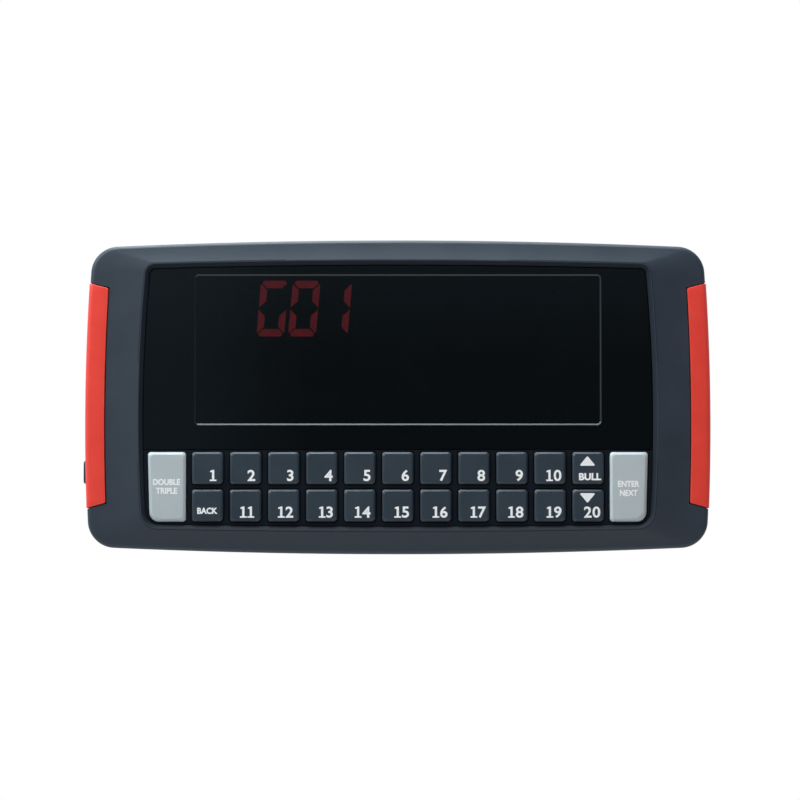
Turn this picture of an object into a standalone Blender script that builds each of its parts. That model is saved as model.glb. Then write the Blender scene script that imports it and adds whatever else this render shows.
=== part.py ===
"""Electronic dart scorer: a wall-hung score box with a red digit display and 24 keys.

The back lies against the wall in the plane y = 0 and the keys face -Y. X runs to the right as a
player sees the box, and Z is up. The origin is the middle of the back face. All sizes are in metres.
The case is laid out from the inside: the keys and the display window set the black recess, the
recess sets the frame round it, and the frame sets the outline of both housings.
"""

import math

import bmesh
import bpy
from mathutils import Vector

MM = 0.001

# Clearances
FIT_GAP = 0.3 * MM  # between pieces that rest on each other
KEY_CLEARANCE = 0.35 * MM  # between a key and the edge of its opening
OVERSHOOT = 1.0 * MM  # how far a cutting shape runs past the surface that it opens
LEAST_CORNER = 0.2 * MM  # an outline that is moved in keeps at least this much roundness
INNER_CORNER = 0.5 * MM  # round edge of small pieces inside the case

# Keys
KEY_COLUMNS = 11
KEY_WIDTH = 14.15 * MM
KEY_HEIGHT = 14.5 * MM
KEY_COLUMN_GAP = 3.08 * MM
KEY_ROW_GAP = 2.44 * MM
KEY_CORNER = 1.3 * MM
KEY_ROUND_CORNER = 2.1 * MM  # a small key's lower right corner
KEY_BEVEL = 0.8 * MM
KEY_PROUD = 1.7 * MM  # height of a key's top above the key field
KEY_WALL = 1.4 * MM
KEY_FLANGE_LIP = 0.6 * MM  # how far the flange reaches behind the edge of the opening
KEY_FLANGE_THICKNESS = 1.2 * MM
KEY_PLUNGER_WIDTH = 4.6 * MM
PLUNGER_CORNER = 0.8 * MM
KEY_PLUNGER_DROP = 0.6 * MM  # how far the plunger stands below the flange
KEY_STOP_THICKNESS = 1.1 * MM  # the housing's floor behind the fascia, which stops the flanges
WIDE_KEY_WIDTH = 17.2 * MM
WIDE_KEY_GAP = 2.83 * MM  # from the last column to a wide key
WIDE_KEY_OUTER_CORNER = 4.4 * MM
WIDE_KEY_TAPER = 0.9 * MM  # the outer side comes in by this much at the bottom

# Margins inside the black recess
KEYS_SIDE_MARGIN = 2.65 * MM
KEYS_BOTTOM_MARGIN = 2.35 * MM
KEYS_TOP_MARGIN = 1.21 * MM  # from the top row up to the lens
WINDOW_WIDTH = 184.8 * MM
WINDOW_BOTTOM_MARGIN = 11.1 * MM  # from the lens's lower edge up to the window
WINDOW_TOP_MARGIN = 4.5 * MM
WINDOW_SIDE_MARGIN = 6.0 * MM
WINDOW_CORNER = 2.0 * MM
RECESS_SIDE_BOW = 3.4 * MM
RECESS_TOP_BOW = 1.8 * MM
RECESS_BOTTOM_BOW = 1.2 * MM
RECESS_CREST_DROP = 8.0 * MM  # the recess is widest this far below the middle of the case
RECESS_TOP_CORNER = 2.8 * MM
RECESS_BOTTOM_CORNER = 6.0 * MM
RECESS_DEPTH = 1.8 * MM
RECESS_SLOPE = 1.4 * MM  # how far the wall of the recess leans out on its way to the front
RECESS_EDGE = 0.5 * MM  # rounding of the frame's inner edge

# Frame and case
FRAME_TOP_WIDTH = 11.2 * MM
FRAME_BOTTOM_WIDTH = 12.4 * MM
FRAME_SIDE_WIDTH = 25.8 * MM
CASE_DEPTH = 30.0 * MM
CASE_SIDE_BOW = 3.2 * MM
CASE_TOP_BOW = 3.5 * MM
CASE_CORNER = 12.5 * MM
CASE_CREST_DROP = 10.0 * MM  # the case is widest this far below its middle
CASE_WALL = 2.2 * MM
RIM_SETBACK = 3.0 * MM  # how far the outer rim lies behind the frame's inner edge
RIM_ROUND = 2.2 * MM
SEAM_DEPTH = 13.0 * MM  # from the back to the seam between the housings
BACK_EDGE_ROUND = 3.0 * MM
BACK_DRAFT = 0.7 * MM
TONGUE_HEIGHT = 2.0 * MM
TONGUE_THICKNESS = 1.2 * MM

# Lens and display
PANEL_THICKNESS = 1.3 * MM  # the lens and the fascia below it
PANEL_SETBACK = 0.1 * MM  # from the foot of the recess's wall to the panels' pocket
WINDOW_DEPTH = 0.4 * MM
WINDOW_BEVEL = 0.7 * MM
LEDGE_THICKNESS = 2.3 * MM
LEDGE_OVERLAP = 1.5 * MM  # the ledge's block reaches this far under the frame
LEDGE_WIDTH = 2.5 * MM  # from the printed window to the opening behind it
DIGIT_PITCH = 14.4 * MM
DIGIT_HEIGHT = 25.4 * MM
DIGIT_WIDTH = 11.4 * MM
DIGIT_STROKE = 3.2 * MM
DIGIT_SLANT = math.radians(6.5)
DIGIT_GAP = 0.5 * MM  # between two segments
DIGIT_RELIEF = 0.25 * MM
DIGITS_PER_MODULE = 3
MODULE_RIM = 3.6 * MM  # of a digit module, above and below its digits
MODULE_DEPTH = 7.8 * MM
MODULE_LENS_GAP = 0.8 * MM
DIGIT_EDGE_MARGIN = 3.2 * MM  # from the window's edge to the digits of the nearer row
DIGIT_ROW_GAP = 11.4 * MM
MODULE_SIDE_MARGIN = 49.9 * MM  # from the window's side to the middle of a module

# Boards and mat
BOARD_THICKNESS = 1.6 * MM
BOARD_MARGIN = 8.0 * MM  # the display board reaches this far past the opening at each side
BOARD_STRIP = 7.0 * MM  # width of the strips above and below the keys that take the screws
BOARD_SPLIT = 1.5 * MM  # between the edges of the two boards
MAT_THICKNESS = 1.2 * MM
DOME_HEIGHT = 2.0 * MM
DOME_TOP_RADIUS = 2.6 * MM
DOME_FOOT_RADIUS = 4.2 * MM
CHIP_SIZE = 20.0 * MM
CHIP_THICKNESS = 2.2 * MM
CHIP_X = -42.0 * MM
CABLE_WIDTH = 16.0 * MM
CABLE_THICKNESS = 0.9 * MM
CABLE_RISE = 5.0 * MM
HEADER_WIDTH = 5.0 * MM
HEADER_HEIGHT = 3.0 * MM

# Screws and what they hold
CASE_SCREW_HEAD_RADIUS = 2.8 * MM
CASE_SCREW_HEAD_HEIGHT = 2.1 * MM
CASE_SCREW_SHANK_RADIUS = 1.3 * MM
CASE_SCREW_LENGTH = 11.0 * MM
CASE_WELL_DEPTH = 9.0 * MM
CASE_WELL_FLOOR = 2.0 * MM
CASE_WELL_WALL = 1.5 * MM
BOSS_WALL = 1.9 * MM
CORNER_SCREW_X_INSET = 20.5 * MM
CORNER_SCREW_Z_INSET = 15.9 * MM
MIDDLE_SCREW_INSET = 8.5 * MM
BOARD_SCREW_HEAD_RADIUS = 2.2 * MM
BOARD_SCREW_HEAD_HEIGHT = 1.5 * MM
BOARD_SCREW_SHANK_RADIUS = 0.9 * MM
BOARD_SCREW_LENGTH = 4.6 * MM
STANDOFF_WALL = 1.2 * MM
SCREW_CLEARANCE = 0.3 * MM

# Grips
GRIP_OUTER_LENGTH = 103.0 * MM
GRIP_INNER_LENGTH = 98.2 * MM
GRIP_WIDTH = 9.0 * MM
GRIP_Z = 0.6 * MM
GRIP_PROUD = 0.35 * MM
GRIP_WALL = 2.0 * MM
GRIP_CORNER = 0.8 * MM

# Wall hangers
KEYHOLE_SPACING = 160.0 * MM
KEYHOLE_Z = 36.0 * MM
KEYHOLE_ENTRY_RADIUS = 4.75 * MM
KEYHOLE_SLOT_RADIUS = 2.5 * MM
KEYHOLE_RISE = 10.0 * MM  # from the middle of the entry to the middle of the slot's round end
KEYHOLE_POCKET_DEPTH = 5.0 * MM
KEYHOLE_POCKET_MARGIN = 0.9 * MM
KEYHOLE_CUP_WALL = 1.4 * MM

# Speaker
SPEAKER_RADIUS = 18.0 * MM
SPEAKER_X = 66.0 * MM
SPEAKER_Z = -12.0 * MM
SPEAKER_RIM_WIDTH = 2.0 * MM
SPEAKER_RIM_THICKNESS = 1.8 * MM
SPEAKER_BASKET_DEPTH = 5.4 * MM
SPEAKER_MAGNET_RADIUS = 8.0 * MM
SPEAKER_MAGNET_HEIGHT = 3.4 * MM
SPEAKER_COLLAR_WALL = 1.4 * MM
SPEAKER_COLLAR_HEIGHT = 3.5 * MM
CONE_THICKNESS = 0.6 * MM
GRILLE_SLOTS = 9
GRILLE_SLOT_WIDTH = 1.8 * MM
GRILLE_SLOT_PITCH = 3.6 * MM
GRILLE_RADIUS = 16.5 * MM

# Power button and switch
BUTTON_LENGTH = 11.4 * MM
BUTTON_WIDTH = 5.2 * MM
BUTTON_Z = -33.6 * MM
BUTTON_FROM_BACK = 7.0 * MM
BUTTON_PROUD = 3.2 * MM
BUTTON_CLEARANCE = 0.35 * MM
BUTTON_FLANGE_LIP = 0.9 * MM
BUTTON_FLANGE_THICKNESS = 1.2 * MM
BUTTON_TRAVEL = 0.8 * MM
BUTTON_STEM_WIDTH = 3.0 * MM
BUTTON_STEM_LENGTH = 3.1 * MM
PAD_THICKNESS = 1.4 * MM  # flat pads inside the walls behind the button and the inlet
BUTTON_PAD_MARGIN = 2.4 * MM
SWITCH_LENGTH = 9.0 * MM
SWITCH_HEIGHT = 8.0 * MM
SWITCH_WIDTH = 12.0 * MM
SWITCH_BORE_MARGIN = 0.4 * MM
CRADLE_WALL = 1.2 * MM
CRADLE_HEIGHT = 5.0 * MM

# Power inlet
INLET_X = -95.0 * MM
INLET_BODY_WIDTH = 9.0 * MM
INLET_BODY_LENGTH = 12.0 * MM
INLET_BORE_RADIUS = 3.2 * MM
INLET_BORE_DEPTH = 9.5 * MM
INLET_PIN_RADIUS = 1.0 * MM
INLET_PIN_SETBACK = 2.2 * MM
INLET_WALL_HOLE_RADIUS = 4.2 * MM
INLET_PAD_MARGIN = 1.0 * MM

# Facets
CORNER_STEPS = 2
ROUND_STEPS = 12
SPEAKER_STEPS = 24
DOME_STEPS = 8
OUTLINE_EDGE_STEPS = 6
OUTLINE_SIDE_STEPS = 5
OUTLINE_CORNER_STEPS = 5
GRIP_STEPS = 5


# Places worked out from the sizes above

HALF_KEY_WIDTH = KEY_WIDTH / 2
HALF_KEY_HEIGHT = KEY_HEIGHT / 2
COLUMN_PITCH = KEY_WIDTH + KEY_COLUMN_GAP
ROW_PITCH = KEY_HEIGHT + KEY_ROW_GAP
WIDE_KEY_HEIGHT = 2 * KEY_HEIGHT + KEY_ROW_GAP
COLUMNS_HALF_WIDTH = (KEY_COLUMNS - 1) / 2 * COLUMN_PITCH + HALF_KEY_WIDTH
KEYS_HALF_WIDTH = COLUMNS_HALF_WIDTH + WIDE_KEY_GAP + WIDE_KEY_WIDTH
RECESS_HALF_WIDTH = max(KEYS_HALF_WIDTH + KEYS_SIDE_MARGIN, WINDOW_WIDTH / 2 + WINDOW_SIDE_MARGIN)
LENS_TO_KEYS_BOTTOM = KEYS_TOP_MARGIN + WIDE_KEY_HEIGHT + KEYS_BOTTOM_MARGIN
MODULE_HEIGHT = DIGIT_HEIGHT + 2 * MODULE_RIM
WINDOW_HEIGHT = 2 * DIGIT_HEIGHT + DIGIT_ROW_GAP + 2 * DIGIT_EDGE_MARGIN
LENS_TO_RECESS_TOP = WINDOW_BOTTOM_MARGIN + WINDOW_HEIGHT + WINDOW_TOP_MARGIN
CASE_HEIGHT = FRAME_BOTTOM_WIDTH + LENS_TO_KEYS_BOTTOM + LENS_TO_RECESS_TOP + FRAME_TOP_WIDTH
CASE_HALF_WIDTH = RECESS_HALF_WIDTH + FRAME_SIDE_WIDTH
CASE_TOP = CASE_HEIGHT / 2
CASE_BOTTOM = -CASE_HEIGHT / 2
RECESS_BOTTOM = CASE_BOTTOM + FRAME_BOTTOM_WIDTH
RECESS_TOP = CASE_TOP - FRAME_TOP_WIDTH
KEYS_BOTTOM = RECESS_BOTTOM + KEYS_BOTTOM_MARGIN
KEYS_TOP = KEYS_BOTTOM + WIDE_KEY_HEIGHT
LOWER_ROW_Z = KEYS_BOTTOM + HALF_KEY_HEIGHT
UPPER_ROW_Z = LOWER_ROW_Z + ROW_PITCH
KEYS_MIDDLE_Z = (KEYS_BOTTOM + KEYS_TOP) / 2
LENS_BOTTOM = KEYS_TOP + KEYS_TOP_MARGIN
WINDOW_BOTTOM = LENS_BOTTOM + WINDOW_BOTTOM_MARGIN
WINDOW_TOP = WINDOW_BOTTOM + WINDOW_HEIGHT
WINDOW_MIDDLE_Z = (WINDOW_BOTTOM + WINDOW_TOP) / 2
OPENING_WIDTH = WINDOW_WIDTH + 2 * LEDGE_WIDTH
OPENING_TOP = WINDOW_TOP + LEDGE_WIDTH / 2
OPENING_BOTTOM = WINDOW_BOTTOM - LEDGE_WIDTH

# Depths, from the front to the back
CREST_Y = -CASE_DEPTH
RIM_Y = CREST_Y + RIM_SETBACK
FIELD_Y = CREST_Y + RECESS_DEPTH
KEY_TOP_Y = FIELD_Y - KEY_PROUD
PANEL_BACK_Y = FIELD_Y + PANEL_THICKNESS
PANEL_SEAT_Y = PANEL_BACK_Y + FIT_GAP
LEDGE_BACK_Y = PANEL_SEAT_Y + LEDGE_THICKNESS
BAY_Y = PANEL_SEAT_Y + KEY_STOP_THICKNESS
FLANGE_FRONT_Y = BAY_Y + FIT_GAP
FLANGE_BACK_Y = FLANGE_FRONT_Y + KEY_FLANGE_THICKNESS
PLUNGER_Y = FLANGE_BACK_Y + KEY_PLUNGER_DROP
DOME_TOP_Y = PLUNGER_Y + FIT_GAP
MAT_FRONT_Y = DOME_TOP_Y + DOME_HEIGHT
MAT_BACK_Y = MAT_FRONT_Y + MAT_THICKNESS
KEY_BOARD_FRONT_Y = MAT_BACK_Y + FIT_GAP
KEY_BOARD_BACK_Y = KEY_BOARD_FRONT_Y + BOARD_THICKNESS
MODULE_FRONT_Y = PANEL_BACK_Y + MODULE_LENS_GAP
MODULE_BACK_Y = MODULE_FRONT_Y + MODULE_DEPTH
DISPLAY_BOARD_FRONT_Y = MODULE_BACK_Y + FIT_GAP
DISPLAY_BOARD_BACK_Y = DISPLAY_BOARD_FRONT_Y + BOARD_THICKNESS
CAVITY_Y = RIM_Y + CASE_WALL
SEAM_Y = -SEAM_DEPTH
FRONT_SEAM_Y = SEAM_Y - FIT_GAP / 2
REAR_SEAM_Y = SEAM_Y + FIT_GAP / 2
BACK_WALL_Y = -CASE_WALL
TONGUE_Y = REAR_SEAM_Y - TONGUE_HEIGHT
TONGUE_OUTER_INSET = CASE_WALL + FIT_GAP
TONGUE_INNER_INSET = TONGUE_OUTER_INSET + TONGUE_THICKNESS
WELL_FLOOR_Y = -CASE_WELL_DEPTH
WELL_END_Y = WELL_FLOOR_Y - CASE_WELL_FLOOR
BOSS_END_Y = WELL_END_Y - FIT_GAP


# Outlines

def bow_radius(half_span, bow):
    """Radius of the arc that falls away by bow at half_span from its middle."""
    return (half_span**2 + bow**2) / (2 * bow)


def arc_points(centre, radius, start, end, steps):
    angles = (start + (end - start) * step / steps for step in range(steps + 1))
    return [(centre[0] + radius * math.cos(a), centre[1] + radius * math.sin(a)) for a in angles]


class BowedOutline:
    """Four bowed sides with round corners, the same left and right, drawn in X and Z."""

    def __init__(self, half_width, top, bottom, crest, bows, corners):
        side_bow, top_bow, bottom_bow = bows
        side_radius = bow_radius(top - crest, side_bow)
        top_radius = bow_radius(half_width, top_bow)
        bottom_radius = bow_radius(half_width, bottom_bow)
        self.side = (Vector((half_width - side_radius, crest)), side_radius)
        self.top = (Vector((0, top - top_radius)), top_radius)
        self.bottom = (Vector((0, bottom + bottom_radius)), bottom_radius)
        self.top_corner = (Vector((half_width, top)), corners[0])
        self.bottom_corner = (Vector((half_width, bottom)), corners[1])

    def corner_centre(self, edge, corner, radius, inset):
        """Centre of the arc of this radius that touches the side and the edge from within."""
        first, first_reach = self.side[0], self.side[1] - inset - radius
        second, second_reach = edge[0], edge[1] - inset - radius
        apart = second - first
        along = (first_reach**2 - second_reach**2 + apart.length_squared) / (2 * apart.length)
        across = math.sqrt(first_reach**2 - along**2)
        foot = first + apart.normalized() * along
        normal = Vector((-apart.y, apart.x)).normalized() * across
        return min((foot + normal, foot - normal), key=lambda centre: (centre - corner[0]).length)

    def corner_arc(self, edge, corner, inset):
        """(centre, radius, angle where it meets the side, angle where it meets the edge)."""
        radius = max(corner[1] - inset, LEAST_CORNER)
        centre = self.corner_centre(edge, corner, radius, inset)
        from_side = centre - self.side[0]
        from_edge = centre - edge[0]
        return (
            centre,
            radius,
            math.atan2(from_side.y, from_side.x),
            math.atan2(from_edge.y, from_edge.x),
        )

    def points(self, inset=0.0):
        """The closed outline, drawn in by inset, anticlockwise from the middle of the bottom."""
        low, low_radius, low_side, low_edge = self.corner_arc(self.bottom, self.bottom_corner, inset)
        high, high_radius, high_side, high_edge = self.corner_arc(self.top, self.top_corner, inset)
        right = arc_points(
            self.bottom[0], self.bottom[1] - inset, -math.pi / 2, low_edge, OUTLINE_EDGE_STEPS
        )
        right += arc_points(low, low_radius, low_edge, low_side, OUTLINE_CORNER_STEPS)[1:]
        right += arc_points(
            self.side[0], self.side[1] - inset, low_side, high_side, OUTLINE_SIDE_STEPS
        )[1:]
        right += arc_points(high, high_radius, high_side, high_edge, OUTLINE_CORNER_STEPS)[1:]
        right += arc_points(
            self.top[0], self.top[1] - inset, high_edge, math.pi / 2, OUTLINE_EDGE_STEPS
        )[1:]
        return right + [(-x, z) for x, z in reversed(right[1:-1])]


def cut_above(points, level):
    """The part of a closed outline that lies above z = level."""
    kept = []
    for (x0, z0), (x1, z1) in zip(points, points[1:] + points[:1]):
        if z0 >= level:
            kept.append((x0, z0))
        if (z0 >= level) != (z1 >= level):
            kept.append((x0 + (x1 - x0) * (level - z0) / (z1 - z0), level))
    return kept


def grown(corners, distance):
    """The corners of an anticlockwise polygon whose edges are moved out by distance."""
    count = len(corners)
    lines = []
    for index in range(count):
        start = Vector(corners[index])
        along = (Vector(corners[(index + 1) % count]) - start).normalized()
        lines.append((start + Vector((along.y, -along.x)) * distance, along))
    result = []
    for index in range(count):
        start, along = lines[index - 1]
        other_start, other_along = lines[index]
        turn = along.x * other_along.y - along.y * other_along.x
        between = other_start - start
        reach = (between.x * other_along.y - between.y * other_along.x) / turn
        result.append(tuple(start + along * reach))
    return result


def rounded(corners, radii, steps=CORNER_STEPS):
    """An anticlockwise polygon with each corner rounded by its own radius, or kept if that is 0."""
    points = []
    for index, corner in enumerate(corners):
        if radii[index] == 0:
            points.append(corner)
            continue
        here = Vector(corner)
        back = (Vector(corners[index - 1]) - here).normalized()
        ahead = (Vector(corners[(index + 1) % len(corners)]) - here).normalized()
        half_angle = back.angle(ahead) / 2
        radius = radii[index]
        centre = here + (back + ahead).normalized() * radius / math.sin(half_angle)
        start = here + back * radius / math.tan(half_angle) - centre
        end = here + ahead * radius / math.tan(half_angle) - centre
        first = math.atan2(start.y, start.x)
        sweep = (math.atan2(end.y, end.x) - first + math.pi) % (2 * math.pi) - math.pi
        points += arc_points(centre, radius, first, first + sweep, steps)
    return points


def rectangle(x, z, width, height):
    """Corners of an upright rectangle, anticlockwise from the lower left."""
    left, right = x - width / 2, x + width / 2
    low, high = z - height / 2, z + height / 2
    return [(left, low), (right, low), (right, high), (left, high)]


def circle(x, z, radius, steps=ROUND_STEPS):
    return arc_points((x, z), radius, 0, 2 * math.pi, steps)[:-1]


CASE_OUTLINE = BowedOutline(
    CASE_HALF_WIDTH,
    CASE_TOP,
    CASE_BOTTOM,
    -CASE_CREST_DROP,
    (CASE_SIDE_BOW, CASE_TOP_BOW, CASE_TOP_BOW),
    (CASE_CORNER, CASE_CORNER),
)
RECESS_OUTLINE = BowedOutline(
    RECESS_HALF_WIDTH,
    RECESS_TOP,
    RECESS_BOTTOM,
    -RECESS_CREST_DROP,
    (RECESS_SIDE_BOW, RECESS_TOP_BOW, RECESS_BOTTOM_BOW),
    (RECESS_TOP_CORNER, RECESS_BOTTOM_CORNER),
)


def case_side_x(z, inset=0.0):
    """How far the case's side lies from the middle at this height."""
    centre, radius = CASE_OUTLINE.side
    return centre.x + math.sqrt((radius - inset) ** 2 - (z - centre.y) ** 2)


def case_bottom_z(x, inset=0.0):
    """Height of the case's bottom edge at this distance from the middle."""
    centre, radius = CASE_OUTLINE.bottom
    return centre.y - math.sqrt((radius - inset) ** 2 - x**2)


# Meshes

def add_loft(mesh, rings):
    """Adds one closed body that runs through these rings of (outline, y)."""
    rows = [[mesh.verts.new((x, y, z)) for x, z in outline] for outline, y in rings]
    count = len(rows[0])
    faces = [mesh.faces.new(rows[0]), mesh.faces.new(rows[-1])]
    for row, following in zip(rows, rows[1:]):
        for index in range(count):
            after = (index + 1) % count
            corners = (row[index], row[after], following[after], following[index])
            faces.append(mesh.faces.new(corners))
    bmesh.ops.recalc_face_normals(mesh, faces=faces)


def mesh_of_lofts(name, lofts):
    mesh = bmesh.new()
    for rings in lofts:
        add_loft(mesh, rings)
    data = bpy.data.meshes.new(name)
    mesh.to_mesh(data)
    mesh.free()
    return data


def finish(name, colour, roughness, metallic=0.0):
    """A Principled BSDF material with this colour, given as linear red, green and blue."""
    material = bpy.data.materials.new(name)
    material.use_nodes = True
    shader = material.node_tree.nodes["Principled BSDF"]
    shader.inputs["Base Color"].default_value = (*colour, 1.0)
    shader.inputs["Roughness"].default_value = roughness
    shader.inputs["Metallic"].default_value = metallic
    material.diffuse_color = (*colour, 1.0)
    return material


def add_object(name, data, material=None, location=(0, 0, 0), rotation=(0, 0, 0)):
    item = bpy.data.objects.new(name, data)
    item.location = location
    item.rotation_euler = rotation
    bpy.context.scene.collection.objects.link(item)
    if material is not None:
        data.materials.clear()
        data.materials.append(material)
    return item


def part(name, lofts, material, location=(0, 0, 0), rotation=(0, 0, 0), smooth=None):
    data = mesh_of_lofts(name, lofts)
    if smooth is not None:
        data.shade_smooth()
        data.set_sharp_from_angle(angle=smooth)
    return add_object(name, data, material, location, rotation)


def combine(item, operation, label, lofts, location=(0, 0, 0), rotation=(0, 0, 0)):
    """Joins these lofts to the item, or cuts them from it, with a Boolean modifier."""
    helper_name = f"{item.name}_{label}"
    helper = add_object(helper_name, mesh_of_lofts(helper_name, lofts), None, location, rotation)
    helper.hide_render = True
    helper.display_type = "WIRE"
    helper.hide_set(True)
    modifier = item.modifiers.new(label, "BOOLEAN")
    modifier.operation = operation
    modifier.solver = "EXACT"
    modifier.object = helper


SMOOTH_ANGLE = math.radians(32)


# Keys

def key_x(column):
    return (column - (KEY_COLUMNS - 1) / 2) * COLUMN_PITCH


def small_key_corners():
    return rectangle(0, 0, KEY_WIDTH, KEY_HEIGHT)


def wide_key_corners(side):
    """A wide key, taller than wide, whose outer side leans in towards the bottom."""
    left, right = -WIDE_KEY_WIDTH / 2, WIDE_KEY_WIDTH / 2
    low, high = -WIDE_KEY_HEIGHT / 2, WIDE_KEY_HEIGHT / 2
    lean = WIDE_KEY_TAPER
    if side < 0:
        return [(left + lean, low), (right, low), (right, high), (left, high)]
    return [(left, low), (right - lean, low), (right, high), (left, high)]


def wide_key_radii(side):
    outer, inner = WIDE_KEY_OUTER_CORNER, KEY_CORNER
    return [outer, inner, inner, inner] if side < 0 else [inner, outer, inner, inner]


WIDE_KEYS = ("key_double_triple", "key_enter_next")


def key_plans():
    """Every key: (name, x, z, corners, corner radii), both wide keys last."""
    small = [KEY_CORNER, KEY_ROUND_CORNER, KEY_CORNER, KEY_CORNER]
    upper = [f"key_{number}" for number in range(1, 11)] + ["key_bull"]
    lower = ["key_back"] + [f"key_{number}" for number in range(11, 21)]
    plans = []
    for names, z in ((upper, UPPER_ROW_Z), (lower, LOWER_ROW_Z)):
        for column, name in enumerate(names):
            plans.append((name, key_x(column), z, small_key_corners(), small))
    wide_x = COLUMNS_HALF_WIDTH + WIDE_KEY_GAP + WIDE_KEY_WIDTH / 2
    for name, side in zip(WIDE_KEYS, (-1, 1)):
        corners, radii = wide_key_corners(side), wide_key_radii(side)
        plans.append((name, side * wide_x, KEYS_MIDDLE_Z, corners, radii))
    return plans


def grown_outline(corners, radii, distance):
    """A rounded polygon with its edges moved out by distance and its corner arcs kept concentric."""
    return rounded(grown(corners, distance), [max(r + distance, LEAST_CORNER) for r in radii])


def placed_outline(x, z, corners, radii, distance):
    """A key's outline at its place, moved out by distance."""
    return grown_outline([(x + dx, z + dz) for dx, dz in corners], radii, distance)


def key_rings(corners, radii):
    """A hollow keycap: bevelled top, straight skirt, flange, and a plunger in the hollow."""
    top = KEY_TOP_Y
    body = rounded(corners, radii)
    flange = grown_outline(corners, radii, KEY_CLEARANCE + KEY_FLANGE_LIP)
    hollow = grown_outline(corners, radii, -KEY_WALL)
    plunger = rounded(rectangle(0, 0, KEY_PLUNGER_WIDTH, KEY_PLUNGER_WIDTH), [PLUNGER_CORNER] * 4)
    rings = [
        (grown_outline(corners, radii, -KEY_BEVEL), top),
        (body, top + KEY_BEVEL),
        (body, FLANGE_FRONT_Y),
        (flange, FLANGE_FRONT_Y),
        (flange, FLANGE_BACK_Y),
        (hollow, FLANGE_BACK_Y),
        (hollow, top + KEY_WALL),
        (plunger, top + KEY_WALL),
        (plunger, PLUNGER_Y),
    ]
    return [(outline, y - top) for outline, y in rings]


def build_keys(dark, pale):
    for name, x, z, corners, radii in key_plans():
        material = pale if name in WIDE_KEYS else dark
        part(name, [key_rings(corners, radii)], material, location=(x, KEY_TOP_Y, z))


# Fasteners

def case_screw_places():
    corner_x = CASE_HALF_WIDTH - CORNER_SCREW_X_INSET
    corner_z = CASE_TOP - CORNER_SCREW_Z_INSET
    middle_z = CASE_TOP - MIDDLE_SCREW_INSET
    return [
        (-corner_x, corner_z),
        (corner_x, corner_z),
        (-corner_x, -corner_z),
        (corner_x, -corner_z),
        (0.0, middle_z),
        (0.0, -middle_z),
    ]


def display_board_screws():
    x = OPENING_WIDTH / 2 + BOARD_MARGIN / 2
    return [
        (side * x, level)
        for level in (OPENING_TOP - BOARD_STRIP, OPENING_BOTTOM + BOARD_STRIP)
        for side in (-1, 1)
    ]


def key_board_edges():
    """Lower and upper edge of the key board."""
    return BAY_BOTTOM - BOARD_STRIP, OPENING_BOTTOM - BOARD_SPLIT


def key_board_screws():
    low, high = key_board_edges()
    lower_x = COLUMN_PITCH * 3.5
    upper_x = OPENING_WIDTH / 2 + BOARD_MARGIN / 2
    lower_z = (low + BAY_BOTTOM) / 2
    upper_z = (high + BAY_TOP) / 2
    return [(-upper_x, upper_z), (upper_x, upper_z), (-lower_x, lower_z), (lower_x, lower_z)]


def screw_rings(head_radius, head_height, shank_radius, length):
    """A domed head whose underside is at y = 0, with its shank along -Y."""
    return [
        (circle(0, 0, head_radius * 0.62), head_height),
        (circle(0, 0, head_radius), head_height * 0.45),
        (circle(0, 0, head_radius), 0.0),
        (circle(0, 0, shank_radius), 0.0),
        (circle(0, 0, shank_radius), shank_radius - length),
        (circle(0, 0, shank_radius * 0.4), -length),
    ]


def build_screws(steel):
    case_rings = screw_rings(
        CASE_SCREW_HEAD_RADIUS, CASE_SCREW_HEAD_HEIGHT, CASE_SCREW_SHANK_RADIUS, CASE_SCREW_LENGTH
    )
    for index, (x, z) in enumerate(case_screw_places(), 1):
        place = (x, WELL_FLOOR_Y + FIT_GAP, z)
        part(f"case_screw_{index}", [case_rings], steel, place, smooth=SMOOTH_ANGLE)
    board_rings = screw_rings(
        BOARD_SCREW_HEAD_RADIUS,
        BOARD_SCREW_HEAD_HEIGHT,
        BOARD_SCREW_SHANK_RADIUS,
        BOARD_SCREW_LENGTH,
    )
    boards = (
        ("display_board_screw", display_board_screws(), DISPLAY_BOARD_BACK_Y),
        ("key_board_screw", key_board_screws(), KEY_BOARD_BACK_Y),
    )
    for label, places, back_y in boards:
        for index, (x, z) in enumerate(places, 1):
            place = (x, back_y + FIT_GAP, z)
            part(f"{label}_{index}", [board_rings], steel, place, smooth=SMOOTH_ANGLE)


# Front housing

BAY_HALF_WIDTH = KEYS_HALF_WIDTH + KEY_CLEARANCE + KEY_FLANGE_LIP + FIT_GAP
BAY_TOP = KEYS_TOP + KEY_CLEARANCE + KEY_FLANGE_LIP + FIT_GAP
BAY_BOTTOM = KEYS_BOTTOM - KEY_CLEARANCE - KEY_FLANGE_LIP - FIT_GAP
BAY_CORNER = 1.5 * MM


def grip_end(inset, growth):
    """Half the length of a grip's outline at this inset from the case's side."""
    slope = (GRIP_OUTER_LENGTH - GRIP_INNER_LENGTH) / 2 / GRIP_WIDTH
    return GRIP_OUTER_LENGTH / 2 - slope * inset + growth * math.hypot(1, slope)


def grip_band(side, inner_inset, outer_inset, growth=0.0):
    """A band with slanted ends that follows the case's side, anticlockwise seen from the front:
    the two corners at the bottom, those at the top, and its bowed inner edge back down."""
    points = []
    for inset, downwards in ((outer_inset, False), (inner_inset, True)):
        end = grip_end(inset, growth)
        heights = [GRIP_Z + end * (2 * step / GRIP_STEPS - 1) for step in range(GRIP_STEPS + 1)]
        edge = [(case_side_x(z, inset), z) for z in heights]
        points += reversed(edge) if downwards else edge
    if side < 0:
        points = [(-x, z) for x, z in reversed(points)]
    return points


def grip_outline(side, growth=0.0):
    """A grip's outline, moved out by growth, running past the case's side."""
    return grip_band(side, GRIP_WIDTH + growth, -3 * OVERSHOOT, growth)


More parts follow.
